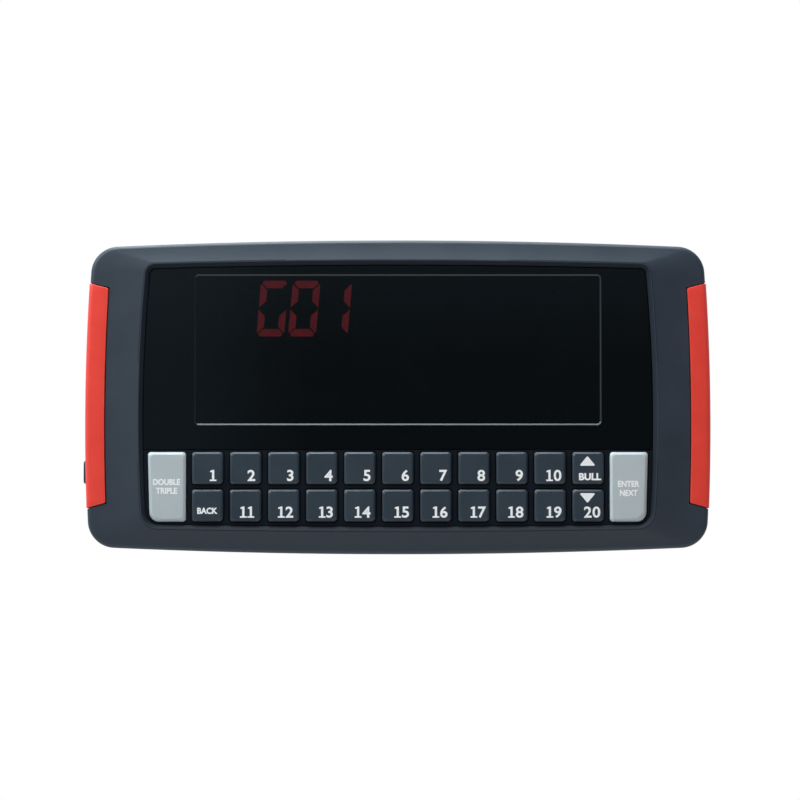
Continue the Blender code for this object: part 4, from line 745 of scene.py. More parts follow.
def unlit_resin():
    """Segments that are off: dark red-brown diffusing epoxy, cast flush with the reflector."""
    tones = [(0.3, linear("240c0b")), (0.7, linear("301211"))]
    layers = [(1 / (1.2 * MM), 2.0, {"tones": tones})]
    return layered("unlit_red_resin", linear("2a0f0e"), 0.45, layers)


def makers():
    """What makes each finish. All scales come from real millimetres."""
    [group] = sizes("colours")
    shade = {name: tuple(getattr(group, name)) for name in group.__annotations__}
    # Name, colour, roughness, grain and its depth in millimetres, mottling, specular level.
    plastics = {
        # A fine matt grain gives the frame an even dull sheen.
        "case": ("charcoal_abs", shade["case"], 0.5, 0.45, 0.02, 0.08, 0.4),
        # Painted shade: the recess's wall is darker than the frame, with a finer grain and hardly
        # any highlight.
        "recess": ("shaded_recess_abs", linear("1e252e"), 0.6, 0.35, 0.008, 0.08, 0.15),
        # A coarse deep grain makes the back duller than the front.
        "rear": ("black_textured_abs", shade["rear"], 0.6, 0.9, 0.05),
        # Satin black, almost without grain, that keeps the gaps between the keys dark.
        "fascia": ("satin_black_abs", shade["fascia"], 0.4, 0.35, 0.008, 0.05, 0.3),
        # What fingers touch is satin, with soft highlights along its edges.
        "button": ("satin_black_button", linear("1d2026"), 0.42, 0.4, 0.01),
        "key": ("satin_charcoal_keys", shade["key"], 0.42, 0.4, 0.01),
        "wide_key": ("satin_grey_keys", shade["wide_key"], 0.45, 0.4, 0.01, 0.03),
        # The bevels of the wide keys: smoother, and painted paler as a painted highlight along
        # their edges.
        "wide_key_edge": (
            "rubbed_grey_keys", scaled(shade["wide_key"], 1.15), 0.35, 0.4, 0.006, 0.03
        ),
        # Unpainted nylon of the switch and the inlet, dull and slightly waxy.
        "nylon": ("black_nylon", linear("17171a"), 0.5, 0.5, 0.01),
        # The chip's package, with a very fine even grain.
        "chip": ("black_chip_epoxy", linear("121214"), 0.55, 0.15, 0.01),
        # The black reflector of a digit module: a matt moulded shell with faint flow marks.
        "reflector": ("black_reflector_resin", linear("151313"), 0.55, 0.4, 0.01),
    }
    # Bright plating, dull bare sheet and a warm polished contact: name, colour, roughness.
    metals = {
        "zinc": ("bright_zinc_steel", linear("c3c6c9"), 0.32),
        "pressed_steel": ("pressed_steel", linear("8d9093"), 0.42),
        "nickel": ("nickel_contact", linear("cfc8bb"), 0.22),
    }

    def plastic(*row):
        level = {"Specular_IOR_Level": row[6]} if len(row) > 6 else {}
        return moulded_plastic(*row[:6], **level)

    made = {name: lambda row=row: plastic(*row) for name, row in plastics.items()}
    made |= {name: lambda row=row: brushed_metal(*row) for name, row in metals.items()}
    made |= {
        "grip": lambda: soft_touch_rubber(shade["grip"]),
        "lens": lambda: smoked_acrylic(shade["lens"]),
        "lit": lambda: lit_resin(shade["glow"]),
        "unlit": unlit_resin,
        "board": solder_mask,
        "ribbon": ribbon_vinyl,
        # The bevel of the window, milled and left unpolished: a fine grey haze that catches
        # light in the tool marks, 0.2 mm apart.
        "ground": lambda: streaked(
            "ground_acrylic_edge", linear("181b1e"), 0.3, size_mm=0.2, detail=2.0,
            stops=[(0.35, 0.8), (0.65, 1.0)], bump=(0.4, 0.01), IOR=1.49, Specular_IOR_Level=0.55,
        ),
        # Pad-printed epoxy ink: a flat bright white, thinner and slightly grey in places.
        "ink": lambda: streaked(
            "white_pad_print", shade["ink"], 0.5, size_mm=0.6, detail=3.0,
            stops=[(0.3, 0.86), (0.6, 1.0)], bump=(0.3, 0.01),
        ),
        # Moulded silicone: milky grey, matt, with light scattering a little way into it and dust
        # clinging to it.
        "silicone": lambda: streaked(
            "grey_silicone", linear("96958f"), 0.6, size_mm=0.8, detail=5.0,
            stops=[(0.45, 1.0), (0.75, 1.15)], bump=(0.2, 0.02),
            Subsurface_Weight=0.15, Subsurface_Scale=2 * MM,
        ),
        # Pressed paper pulp, dyed black and coated: a fibrous matt surface.
        "cone": lambda: streaked(
            "black_cone_paper", linear("232120"), 0.85, size_mm=0.4, detail=6.0,
            stops=[(0.35, 0.7), (0.7, 1.5)], bump=(0.6, 0.06), noise={"Distortion": 1.5},
        ),
        # Matt seamless background paper: nearly flat, with the faintest mottle of its pulp.
        "paper": lambda: streaked(
            "seamless_paper", shade["paper"], 0.9, size_mm=125.0, detail=3.0,
            stops=[(0.3, 0.985), (0.7, 1.0)], Specular_IOR_Level=0.1,
        ),
    }
    return made


def finish(name):
    """One of the finishes by name, made once."""
    if name not in FINISHES:
        FINISHES[name] = makers()[name]()
    return FINISHES[name]


def refinish(node, name):
    """Gives a CAD node a finish, and leaves its mesh as it is."""
    item = bpy.data.objects[node]
    for slot in item.material_slots:
        slot.material = finish(name)


# Places along Y, from the front to the back

def depths():
    """The depths that the case, its panels and its keys are laid out from."""
    case, recess, keys = sizes("case", "recess", "keys")
    crest = -case.depth
    field = crest + recess.depth
    panel_back = field + recess.panel
    seat = panel_back + FIT_GAP
    return {
        "crest": crest,
        "rim": crest + case.rim_setback,
        "field": field,
        "panel_back": panel_back,
        "seat": seat,
        "key_top": field - keys.proud,
        "front_seam": -case.seam - FIT_GAP / 2,
        "rear_seam": -case.seam + FIT_GAP / 2,
    }


def quarter(radius, steps):
    """(inset, setback) pairs round a quarter circle, from the side to the front."""
    angles = (math.pi / 2 * step / steps for step in range(steps + 1))
    return [(radius * (1 - math.cos(a)), radius * (1 - math.sin(a))) for a in angles]


def front_skin(proud=0.0):
    """The front housing's outer face from the seam over the rim to the crest, moved out."""
    case, recess = sizes("case", "recess")
    outline, opening, at = case_outline(), recess_outline(), depths()
    rings = [
        (outline.points(SEAM_EASE - proud), at["front_seam"]),
        (outline.points(FIT_GAP / 2 - proud), at["front_seam"] - 0.3 * MM),
    ]
    for inset, setback in quarter(case.rim_round, 6):
        rings.append((outline.points(inset - proud), at["rim"] + setback - proud))
    for spread, drop in ((0.5, 0.12), (0.22, 0.03), (0.0, 0.0)):
        inset = -recess.slope - recess.edge - spread * MM
        rings.append((opening.points(inset), at["crest"] + drop * MM - proud))
    return rings


def recess_wall():
    [recess] = sizes("recess")
    opening, at = recess_outline(), depths()
    return [
        (opening.points(-recess.slope - recess.edge * 0.45), at["crest"] + recess.edge * 0.04),
        (opening.points(-recess.slope), at["crest"] + recess.edge * 0.3),
        (opening.points(0.0), at["field"]),
    ]


def grip_band(side, inner_inset, outer_inset, growth=0.0):
    """A band with slanted ends that follows the case's side, anticlockwise seen from the front."""
    [grips] = sizes("grips")
    outline = case_outline()
    slope = (grips.outer_length - grips.inner_length) / 2 / grips.width
    points = []
    for inset, downwards in ((outer_inset, False), (inner_inset, True)):
        end = grips.outer_length / 2 - slope * inset + growth * math.hypot(1, slope)
        shares = [2 * step / GRIP_STEPS - 1 for step in range(GRIP_STEPS + 1)]
        heights = [grips.middle + end * share for share in shares]
        edge = [(outline.side_x(z, inset), z) for z in heights]
        points += reversed(edge) if downwards else edge
    if side < 0:
        points = [(-x, z) for x, z in reversed(points)]
    return points


def grip_outline(side, growth=0.0):
    """A grip's outline, moved out by growth, running past the case's side."""
    [grips] = sizes("grips")
    return grip_band(side, grips.width + growth, -3 * MM, growth)


def key_places():
    """Every key: (name, x, z, corners, corner radii)."""
    [keys] = sizes("keys")
    pitch = keys.width + keys.column_gap
    radii = [keys.corner, keys.round_corner, keys.corner, keys.corner]
    small = rectangle(0, 0, keys.width, keys.height)
    lower = keys.bottom + keys.height / 2
    upper = lower + keys.height + keys.row_gap
    rows = (
        (upper, [f"key_{number}" for number in range(1, 11)] + ["key_bull"]),
        (lower, ["key_back"] + [f"key_{number}" for number in range(11, 21)]),
    )
    places = []
    for z, names in rows:
        for column, name in enumerate(names):
            x = (column - (keys.columns - 1) / 2) * pitch
            places.append((name, x, z, small, radii))
    tall = 2 * keys.height + keys.row_gap
    wide_x = keys.columns / 2 * pitch - keys.column_gap / 2 + keys.wide_gap + keys.wide_width / 2
    wide_z = keys.bottom + tall / 2
    right, high = keys.wide_width / 2, tall / 2
    outer, inner, foot = keys.wide_corner, keys.corner, right - keys.wide_taper
    tops = [(right, high), (-right, high)]
    for name, x, feet, radii in (
        ("key_double_triple", -wide_x, [(-foot, -high), (right, -high)], [outer, inner]),
        ("key_enter_next", wide_x, [(-right, -high), (foot, -high)], [inner, outer]),
    ):
        places.append((name, x, wide_z, feet + tops, radii + [inner, inner]))
    return places


class SCORER_OT_case(bpy.types.Operator):
    """Makes the front housing's sloped frame with its rounded rim, recess and grip pockets"""

    bl_idname = "scorer.case"
    bl_label = "Front housing"

    def execute(self, context):
        case, recess, keys = sizes("case", "recess", "keys")
        window, grips = sizes("window", "grips")
        outline, opening, at = case_outline(), recess_outline(), depths()
        cavity_y = at["rim"] + case.wall
        ledge_y, bay_y = at["seat"] + LEDGE_DEPTH, at["seat"] + BAY_DEPTH
        before, behind = at["crest"] - MM, ledge_y + MM
        cavity = [
            (outline.points(case.wall), at["front_seam"] + MM),
            (outline.points(case.wall), cavity_y + case.wall / 2),
            (outline.points(case.wall * 1.5), cavity_y),
        ]
        walls = [prism(opening.points(-LEDGE_WIDTH), cavity_y - case.wall / 2, ledge_y)]
        pockets = []
        for side in (-1, 1):
            band = grip_band(side, grips.width + case.wall, case.wall / 2, case.wall)
            walls.append(prism(band, cavity_y - case.wall / 4, at["front_seam"]))
            pockets.append(prism(grip_outline(side), before, at["front_seam"] + MM))
        panels = prism(opening.points(recess.panel_setback), before, at["seat"])

        low = window.bottom - window.margin
        high = window.bottom + window.height + window.margin / 2
        hole = rectangle(0, (low + high) / 2, window.width + 2 * window.margin, high - low)
        reach = keys.clearance + FLANGE_REACH + FIT_GAP
        places = key_places()
        tall = 2 * keys.height + keys.row_gap
        half_bay = places[-1][1] + keys.wide_width / 2 + reach
        bay = rectangle(0, keys.bottom + tall / 2, 2 * half_bay, tall + 2 * reach)
        opened = [
            prism(rounded(hole, [window.corner] * 4), before, behind),
            prism(rounded(bay, [BAY_CORNER] * 4), bay_y, behind),
        ]
        slots = [
            grown_outline(moved(corners, x, z), radii, keys.clearance)
            for _, x, z, corners, radii in places[-2:]
        ]
        row = keys.columns * keys.width + (keys.columns - 1) * keys.column_gap
        for z in (places[0][2], places[keys.columns][2]):
            corners = rectangle(0, z, row + 2 * keys.clearance, keys.height + 2 * keys.clearance)
            slots.append(rounded(corners, [keys.corner + keys.clearance] * 4))
        slotted = [prism(slot, at["seat"] - MM, bay_y + MM) for slot in slots]

        posts, bores = [], []
        roots = [("case_screw", BOSS, SCREW_BORE, cavity_y - case.wall / 4, BOSS_Y - FIT_GAP)]
        for board in ("display_board", "key_board"):
            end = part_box(board)[0][1] - FIT_GAP
            roots.append((f"{board}_screw", BOARD_BOSS, BOARD_BORE, ledge_y - 0.6 * MM, end))
        for screws, boss, bore, root_y, end_y in roots:
            for screw in numbered(screws):
                middle, tip = centre_of(screw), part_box(screw)[0][1] - FIT_GAP
                posts.append(rod(middle, boss, root_y, end_y))
                bores.append(rod(middle, bore, tip, end_y + MM))
        steps = [
            ("DIFFERENCE", [cavity]),
            ("UNION", walls),
            ("DIFFERENCE", pockets),
            ("DIFFERENCE", [panels]),
            ("DIFFERENCE", opened),
            ("DIFFERENCE", slotted),
            ("UNION", posts),
            ("DIFFERENCE", bores),
        ]
        data = carved([front_skin() + recess_wall()], steps)
        front = piece("front_frame", data, ["case", "recess"], ["front_housing"])
        # The faces of the recess's wall take the second finish, the frame's plastic painted darker
        # as painted shade.
        reach = recess.slope + recess.edge
        for face in front.data.polygons:
            place = face.center
            inside = abs(place.x) < recess.half_width + reach and abs(place.z) < recess.top + reach
            if inside and at["crest"] + 0.05 * MM < place.y < at["seat"]:
                face.material_index = 1
        return {"FINISHED"}


class SCORER_OT_rear(bpy.types.Operator):
    """Makes the rear housing with its keyholes, speaker grille, screw wells and rounded edge"""

    bl_idname = "scorer.rear"
    bl_label = "Rear housing"

    def execute(self, context):
        [case] = sizes("case")
        outline, seam = case_outline(), depths()["rear_seam"]
        wall, back, draft = case.wall, -case.wall, case.back_draft
        shoulder = seam + wall
        skin = [
            (outline.points(SEAM_EASE), seam),
            (outline.points(FIT_GAP / 2 + 0.02 * MM), seam + 0.3 * MM),
            (outline.points(draft), -case.back_round),
        ]
        for inset, setback in quarter(case.back_round, 7)[1:]:
            skin.append((outline.points(draft + inset), -setback))
        tongue = prism(outline.points(wall + FIT_GAP), seam - 2 * MM, shoulder)
        cavity = prism(outline.points(wall + FIT_GAP + TONGUE), seam - 3 * MM, shoulder)
        cavity += prism(outline.points(wall + draft), shoulder + wall, back)
        notches = [
            prism(grip_outline(side, wall + FIT_GAP), seam - 3 * MM, seam) for side in (-1, 1)
        ]
        joined, pockets, cuts, wells, passages = [], [], [], [], []
        for screw in numbered("case_screw"):
            middle = centre_of(screw)
            joined.append(rod(middle, WELL + WELL_WALL, BOSS_Y, back / 2))
            mouth = rod(middle, WELL, WELL_FLOOR, -0.5 * MM)
            wells.append(mouth + rod(middle, WELL + 0.5 * MM, 0.0, MM))
            passages.append(rod(middle, SCREW_BORE, BOSS_Y - MM, WELL_FLOOR + MM))
        head = KEYHOLE_ENTRY + HEAD_MARGIN
        meet = math.acos(KEYHOLE_SLOT / KEYHOLE_ENTRY)
        for x in (-KEYHOLE_X, KEYHOLE_X):
            for target, reach, front, end in (
                (joined, head + HEAD_WALL, back - HEAD_DEPTH - HEAD_WALL, back / 2),
                (pockets, head, back - HEAD_DEPTH, back),
            ):
                middle = KEYHOLE_Z + KEYHOLE_RISE / 2
                corners = rectangle(x, middle, 2 * reach, KEYHOLE_RISE + 2 * reach)
                target.append(prism(rounded(corners, [reach * 0.6] * 4), front, end))
            keyhole = arc((x, KEYHOLE_Z), KEYHOLE_ENTRY, -math.pi - meet, meet, 36)
            keyhole += arc((x, KEYHOLE_Z + KEYHOLE_RISE), KEYHOLE_SLOT, 0, math.pi, 18)
            cuts.append(prism(keyhole, back - MM, MM))
        speaker = centre_of("speaker_frame")
        joined.append(rod(speaker, COLLAR, back - COLLAR_DEPTH, back / 2, 64))
        pockets.append(rod(speaker, COLLAR - COLLAR_WALL, back - COLLAR_DEPTH - MM, back, 64))
        for number in range(-4, 5):
            offset = number * GRILLE_PITCH
            tall = 2 * math.sqrt(GRILLE**2 - offset**2)
            corners = rectangle(speaker.x + offset, speaker.z, GRILLE_SLOT, tall)
            cuts.append(prism(rounded(corners, [GRILLE_CORNER] * 4), back - MM, MM))

        button, inlet = centre_of("power_button"), centre_of("dc_inlet")
        stem = BUTTON_STEM_LENGTH + FLANGE_THICK
        pad_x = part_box("power_button")[1][0] - stem - FIT_GAP
        pad_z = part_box("dc_inlet")[0][2] - FIT_GAP
        outside = wall * 0.4 - outline.side_x(abs(button.z) + BUTTON_PAD, draft)
        corners = square_between(outside, pad_x, button.z - BUTTON_PAD, button.z + BUTTON_PAD)
        joined.append(prism(corners, -12 * MM, WALL_MIDDLE))
        outside = wall * 0.4 + outline.bottom_z(abs(inlet.x) + INLET_PAD, draft)
        corners = square_between(inlet.x - INLET_PAD, inlet.x + INLET_PAD, outside, pad_z)
        joined.append(prism(corners, inlet.y - INLET_PAD, WALL_MIDDLE))
        cradles = []
        low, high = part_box("power_switch")
        for edge in (low[2] - RIB - FIT_GAP, high[2] + FIT_GAP):
            cradles.append(square_between(low[0], high[0], edge, edge + RIB))
        low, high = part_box("dc_inlet")
        for edge in (low[0] - RIB - FIT_GAP, high[0] + FIT_GAP):
            cradles.append(square_between(edge, edge + RIB, pad_z + FIT_GAP, high[2]))
        depth = -outline.side_x(button.z, draft) - pad_x
        hole, wide = button_outline(BUTTON_PLAY), button_outline(BUTTON_FLARE)
        button_cut = prism(wide, depth - MM, depth) + prism(hole, depth + 0.5 * MM, MM)
        depth = outline.bottom_z(inlet.x, draft) - pad_z
        mouth, throat = circle(0, 0, INLET_MOUTH), circle(0, 0, INLET_THROAT)
        inlet_cut = prism(mouth, depth - MM, depth + 0.1 * MM)
        inlet_cut += prism(throat, depth + 0.6 * MM, MM)
        steps = [
            ("UNION", [tongue]),
            ("DIFFERENCE", [cavity]),
            ("DIFFERENCE", notches),
            ("UNION", joined),
            ("UNION", [prism(corners, back - RIB_HEIGHT, WALL_MIDDLE) for corners in cradles]),
            ("DIFFERENCE", pockets),
            ("DIFFERENCE", cuts + wells),
            ("DIFFERENCE", passages),
            ("DIFFERENCE", [button_cut], Matrix.Translation((pad_x, BUTTON_Y, button.z)) @ TO_LEFT),
            ("DIFFERENCE", [inlet_cut], Matrix.Translation((inlet.x, inlet.y, pad_z)) @ TO_BOTTOM),
        ]
        piece("rear_shell", carved([skin], steps), ["rear"], ["rear_housing"])
        return {"FINISHED"}


class SCORER_OT_grips(bpy.types.Operator):
    """Makes the two red grips that wrap the case's sides, with softened edges"""

    bl_idname = "scorer.grips"
    bl_label = "Grips"

    def execute(self, context):
        case, grips = sizes("case", "grips")
        at = depths()
        shell, end = FIT_GAP + GRIP_SHELL, at["front_seam"] + MM
        for name, side in (("left", -1), ("right", 1)):
            corners = grip_outline(side, -GRIP_GAP)
            radii = [0] * len(corners)
            for index in (-1, GRIP_STEPS + 1) if side > 0 else (0, GRIP_STEPS):
                radii[index] = GRIP_CORNER
            body = prism(rounded(corners, radii, 3), at["crest"] - MM, end)
            hollow = grip_band(side, grips.width - shell, GRIP_SHELL, -shell)
            inside = prism(hollow, at["rim"] + case.rim_round + GRIP_SHELL, end)
            steps = [("INTERSECT", [body]), ("DIFFERENCE", [inside])]
            helper = temporary(carved([front_skin(grips.proud)], steps))
            bevel = helper.modifiers.new("soft edges", "BEVEL")
            bevel.width = GRIP_EDGE
            bevel.segments = 3
            bevel.limit_method = "ANGLE"
            bevel.angle_limit = math.radians(50)
            softened = evaluated_mesh(helper)
            bpy.data.objects.remove(helper)
            piece(f"{name}_grip_cover", softened, ["grip"], [f"{name}_grip"])
        return {"FINISHED"}


class SCORER_OT_panels(bpy.types.Operator):
    """Makes the smoked lens with its sunken window, and the satin fascia the keys come through"""

    bl_idname = "scorer.panels"
    bl_label = "Lens and fascia"

    def execute(self, context):
        recess, window, keys = sizes("recess", "window", "keys")
        opening, at = recess_outline(), depths()
        outline = opening.points(recess.panel_setback + FIT_GAP)
        eased = opening.points(recess.panel_setback + FIT_GAP + PANEL_EDGE)
        upper = cut_above(outline, recess.lens_bottom)
        upper_eased = cut_above(eased, recess.lens_bottom + PANEL_EDGE)
        lens_rings = prism(upper, at["field"] + PANEL_EDGE, at["panel_back"])
        if len(upper_eased) == len(upper):
            lens_rings.insert(0, (upper_eased, at["field"]))
        else:
            lens_rings[0] = (upper, at["field"])
        middle = window.bottom + window.height / 2
        corners = rectangle(0, middle, window.width, window.height)
        radii = [window.corner] * 4
        slope = window.bevel / window.sink
        sunken = [
            (grown_outline(corners, radii, MM * slope), at["field"] - MM),
            (grown_outline(corners, radii, -window.bevel), at["field"] + window.sink),
        ]
        data = carved([lens_rings], [("DIFFERENCE", [sunken])])
        lens = piece("smoked_lens", data, ["lens", "ground"], ["display_lens"])
        reach = window.width / 2 + window.bevel, window.height / 2 + window.bevel
        for face in lens.data.polygons:
            at_x, at_z = abs(face.center.x), abs(face.center.z - window.bottom - window.height / 2)
            if at_x < reach[0] and at_z < reach[1] and -0.97 < face.normal.y < -0.3:
                face.material_index = 1

        def flipped(points):
            return [(x, -z) for x, z in reversed(points)]

        lower = flipped(cut_above(flipped(outline), FIT_GAP - recess.lens_bottom))
        holes = []
        for _, x, z, key_corners, key_radii in key_places():
            placed = moved(key_corners, x, z)
            hole = grown_outline(placed, key_radii, keys.clearance)
            flared = grown_outline(placed, key_radii, keys.clearance + HOLE_EDGE)
            straight = prism(hole, at["field"] + HOLE_EDGE, at["panel_back"] + MM)
            holes.append(prism(flared, at["field"] - MM, at["field"]) + straight)
        sheet = prism(lower, at["field"], at["panel_back"])
        data = carved([sheet], [("DIFFERENCE", holes)])
        piece("satin_fascia", data, ["fascia"], ["key_fascia"])
        return {"FINISHED"}


def keycap_rings(corners, radii, top, bevel):
    """A hollow keycap from its softened top edge to the plunger in its hollow."""
    [keys] = sizes("keys")
    flange_y = depths()["seat"] + BAY_DEPTH + FIT_GAP
    flange_back = flange_y + FLANGE_THICK
    plunger = rounded(rectangle(0, 0, PLUNGER, PLUNGER), [PLUNGER_CORNER] * 4)
    soft = [radius + CAP_EDGE for radius in radii]
    rings = [
        (rounded(grown(corners, -bevel * inset), soft), top + bevel * drop)
        for inset, drop in ((1.6, 0.0), (1.3, 0.0), (1.0, 0.05), (0.25, 0.7))
    ]
    for growth, front, back in (
        (0.0, top + bevel * 1.05, flange_y),
        (keys.clearance + FLANGE_REACH, flange_y, flange_back),
        (-CAP_WALL, flange_back, top + CAP_WALL),
    ):
        rings += prism(grown_outline(corners, radii, growth), front, back)
    return rings + prism(plunger, top + CAP_WALL, flange_y + PLUNGER_END)


class SCORER_OT_keys(bpy.types.Operator):
    """Makes the keycaps with their bevelled tops, one on each key's own body"""

    bl_idname = "scorer.keys"
    bl_label = "Keycaps"

    def execute(self, context):
        [keys] = sizes("keys")
        top = depths()["key_top"]
        for name, x, z, corners, radii in key_places():
            wide = name in ("key_double_triple", "key_enter_next")
            bevel = keys.bevel * (1.35 if wide else 1.0)
            data = lofts_mesh(name, [keycap_rings(corners, radii, top, bevel)])
            data.transform(Matrix.Translation((x, 0, z)))
            looks, slot = ["key"], "key_plastic"
            if wide:
                looks, slot = ["wide_key", "wide_key_edge"], "wide_key_plastic"
            cap = piece(f"{name}_cap", data, looks, [name], name)
            # The bevel faces of a wide key take the paler finish: a painted highlight along its
            # edges.
            for face in cap.data.polygons:
                if wide and face.center.y < top + bevel * 1.1 and face.normal.y > -0.98:
                    face.material_index = 1
        return {"FINISHED"}


# Print on the keys

def text_mesh(words, height, weight, x, z, align="CENTER", width=None):
    """Words as a thin mesh facing -Y, scaled to a capital's height and, if it is given, to this
    width, with x at their left, middle or right edge and z at their baseline."""
    curve = bpy.data.curves.new("words", "FONT")
    curve.body = words
    curve.size = 1.0
    curve.offset = weight
    curve.resolution_u = 6
    item = temporary(curve)
    data = evaluated_mesh(item)
    bpy.data.objects.remove(item)
    bpy.data.curves.remove(curve)
    across = [vertex.co.x for vertex in data.vertices]
    tall = [vertex.co.y for vertex in data.vertices]
    left, right, low = min(across), max(across), min(tall)
    upright = height / (max(tall) - low)
    sideways = width / (right - left) if width else upright * 1.06
    anchor = {"LEFT": left, "CENTER": (left + right) / 2, "RIGHT": right}[align]
    for vertex in data.vertices:
        place = vertex.co
        across, up = (place.x - anchor) * sideways, (place.y - low) * upright
        place.x, place.y, place.z = x + across, 0.0, z + up
    return data


def figure_one(height, x, z):
    """The figure 1 with a flag and a foot, with x at the right end of its foot."""
    corners = [
        (-0.6, 0.0), (0.0, 0.0), (0.0, 0.14), (-0.2, 0.14), (-0.2, 1.0), (-0.36, 1.0),
        (-0.57, 0.9), (-0.57, 0.79), (-0.4, 0.79), (-0.4, 0.14), (-0.6, 0.14),
    ]
    return flat_mesh("figure", [(x + a * height, z + b * height) for a, b in corners])


def number_parts(number, height, right, z):
    """The figures of a number, set from its right end to the left."""
    parts = []
    for figure in reversed(number):
        if figure == "1":
            parts.append(figure_one(height, right, z))
        else:
            parts.append(text_mesh(figure, height, 0.024, right, z, "RIGHT"))
        right = min(vertex.co.x for vertex in parts[-1].vertices) - 0.07 * height
    return parts


def triangle_mesh(x, z, width, height, up):
    """An arrow with rounded corners, with its flat side at z."""
    tip = z + height if up else z - height
    corners = [(x - width / 2, z), (x + width / 2, z), (x, tip)]
    return flat_mesh("arrow", rounded(corners, [ARROW_CORNER] * 3, 4))


def raised_print(name, parts, body):
    """Joins flat print shapes, gives them the thickness of a coat of ink and sets them on a key."""
    mesh = bmesh.new()
    for data in parts:
        mesh.from_mesh(data)
        bpy.data.meshes.remove(data)
    bmesh.ops.remove_doubles(mesh, verts=mesh.verts[:], dist=1e-6)
    for face in mesh.faces:
        face.smooth = False
        face.normal_update()
        if face.normal.y > 0:
            face.normal_flip()
    top = depths()["key_top"]
    extruded = bmesh.ops.extrude_face_region(mesh, geom=mesh.faces[:])
    raised = [item for item in extruded["geom"] if isinstance(item, bmesh.types.BMVert)]
    bmesh.ops.translate(mesh, verts=mesh.verts[:], vec=(0, top + INK, 0))
    for vertex in raised:
        vertex.co.y = top - INK
    bmesh.ops.recalc_face_normals(mesh, faces=mesh.faces[:])
    return piece(name, plain_mesh(name, mesh), ["ink"], body=body, smooth=None)


# From each number to the right side of its key, from 1 to 20, in millimetres.
# From each number to the right side of its key, from 1 to 20, in millimetres.
MARGINS = (
    3.0, 2.7, 2.6, 2.1, 2.2, 2.0, 1.9, 2.0, 2.1, 1.9,
    3.1, 2.7, 2.0, 2.2, 2.0, 1.8, 1.6, 1.9, 1.9, 1.6,
)

# Above a key's lower edge the baseline of its number, and below its upper edge an arrow, first in
# the upper row and then in the lower row
BASELINES, ARROWS = (1.35 * MM, 1.7 * MM), (1.75 * MM, 1.65 * MM)
ARROW_SHIFT, ARROW_CORNER = 0.3 * MM, 0.4 * MM
WORD_WEIGHT, WIDE_WORD_WEIGHT = 0.042, 0.037

# The words on the keys: width, height of a capital, and how far a word's middle lies to the right
# of its key's middle and its baseline above it, in millimetres.
WORDS = {
    "key_back": (("BACK", 9.25, 2.9, 0.0, -3.85),),
    "key_bull": (("BULL", 10.1, 3.3, 0.9, -5.55),),
    "key_double_triple": (("DOUBLE", 12.3, 2.8, 0.0, 0.75), ("TRIPLE", 9.6, 2.8, 0.0, -3.2)),
    "key_enter_next": (("ENTER", 9.8, 2.8, -0.1, -0.1), ("NEXT", 8.05, 2.8, -0.1, -4.2)),
}


class SCORER_OT_print(bpy.types.Operator):
    """Prints the numbers, arrows and words on the keys"""

    bl_idname = "scorer.print"
    bl_label = "Print on the keys"

    def execute(self, context):
        [keys] = sizes("keys")
        for name, x, z, _, _ in key_places():
            label = name.removeprefix("key_")
            low, high = z - keys.height / 2, z + keys.height / 2
            parts = []
            if label.isdigit():
                right = x + keys.width / 2 - MARGINS[int(label) - 1] * MM
                base = low + BASELINES[int(label) > 10]
                parts = number_parts(label, keys.number_height, right, base)
            for word, width, height, shift, level in WORDS.get(name, ()):
                weight = WORD_WEIGHT if len(WORDS[name]) == 1 else WIDE_WORD_WEIGHT
                place = x + shift * MM, z + level * MM
                parts.append(text_mesh(word, height * MM, weight, *place, width=width * MM))
            arrow, middle = (keys.arrow_width, keys.arrow_height), x - ARROW_SHIFT
            if name == "key_bull":
                foot = high - ARROWS[0] - keys.arrow_height
                parts.append(triangle_mesh(middle, foot, *arrow, True))
            elif name == "key_20":
                parts.append(triangle_mesh(middle, high - ARROWS[1], *arrow, False))
            raised_print(f"{name}_print", parts, name)
        return {"FINISHED"}


# Trees that repeat a shape

def modifier_tree(name, inputs):
    """A geometry tree with a mesh in, a mesh out and these (name, socket type, value) inputs."""
    tree = bpy.data.node_groups.new(name, "GeometryNodeTree")
    tree.interface.new_socket("Geometry", in_out="INPUT", socket_type="NodeSocketGeometry")
    tree.interface.new_socket("Geometry", in_out="OUTPUT", socket_type="NodeSocketGeometry")
    for label, kind, value in inputs:
        socket = tree.interface.new_socket(label, in_out="INPUT", socket_type=kind)
        if value is not None:
            socket.default_value = value
    return tree


def grown_from(tree, data, values):
    """The mesh that a geometry tree makes of data with these inputs, set by their identifiers."""
    item = temporary(data)
    modifier = item.modifiers.new(tree.name, "NODES")
    modifier.node_group = tree
    for socket in tree.interface.items_tree:
        if socket.name in values:
            modifier[socket.identifier] = values[socket.name]
    made = evaluated_mesh(item)
    item.modifiers.remove(modifier)
    bpy.data.objects.remove(item)
    return made


def end_tree(tree, inputs, sockets):
    """Ends a tree: copies on each point, made real, with one material."""
    copies = add(tree, "GeometryNodeInstanceOnPoints", sockets).outputs["Instances"]
    solid = add(tree, "GeometryNodeRealizeInstances", {"Geometry": copies}).outputs["Geometry"]
    values = {"Geometry": solid, "Material": inputs["Material"]}
    painted = add(tree, "GeometryNodeSetMaterial", values).outputs["Geometry"]
    add(tree, "NodeGroupOutput", {"Geometry": painted})
    return tree


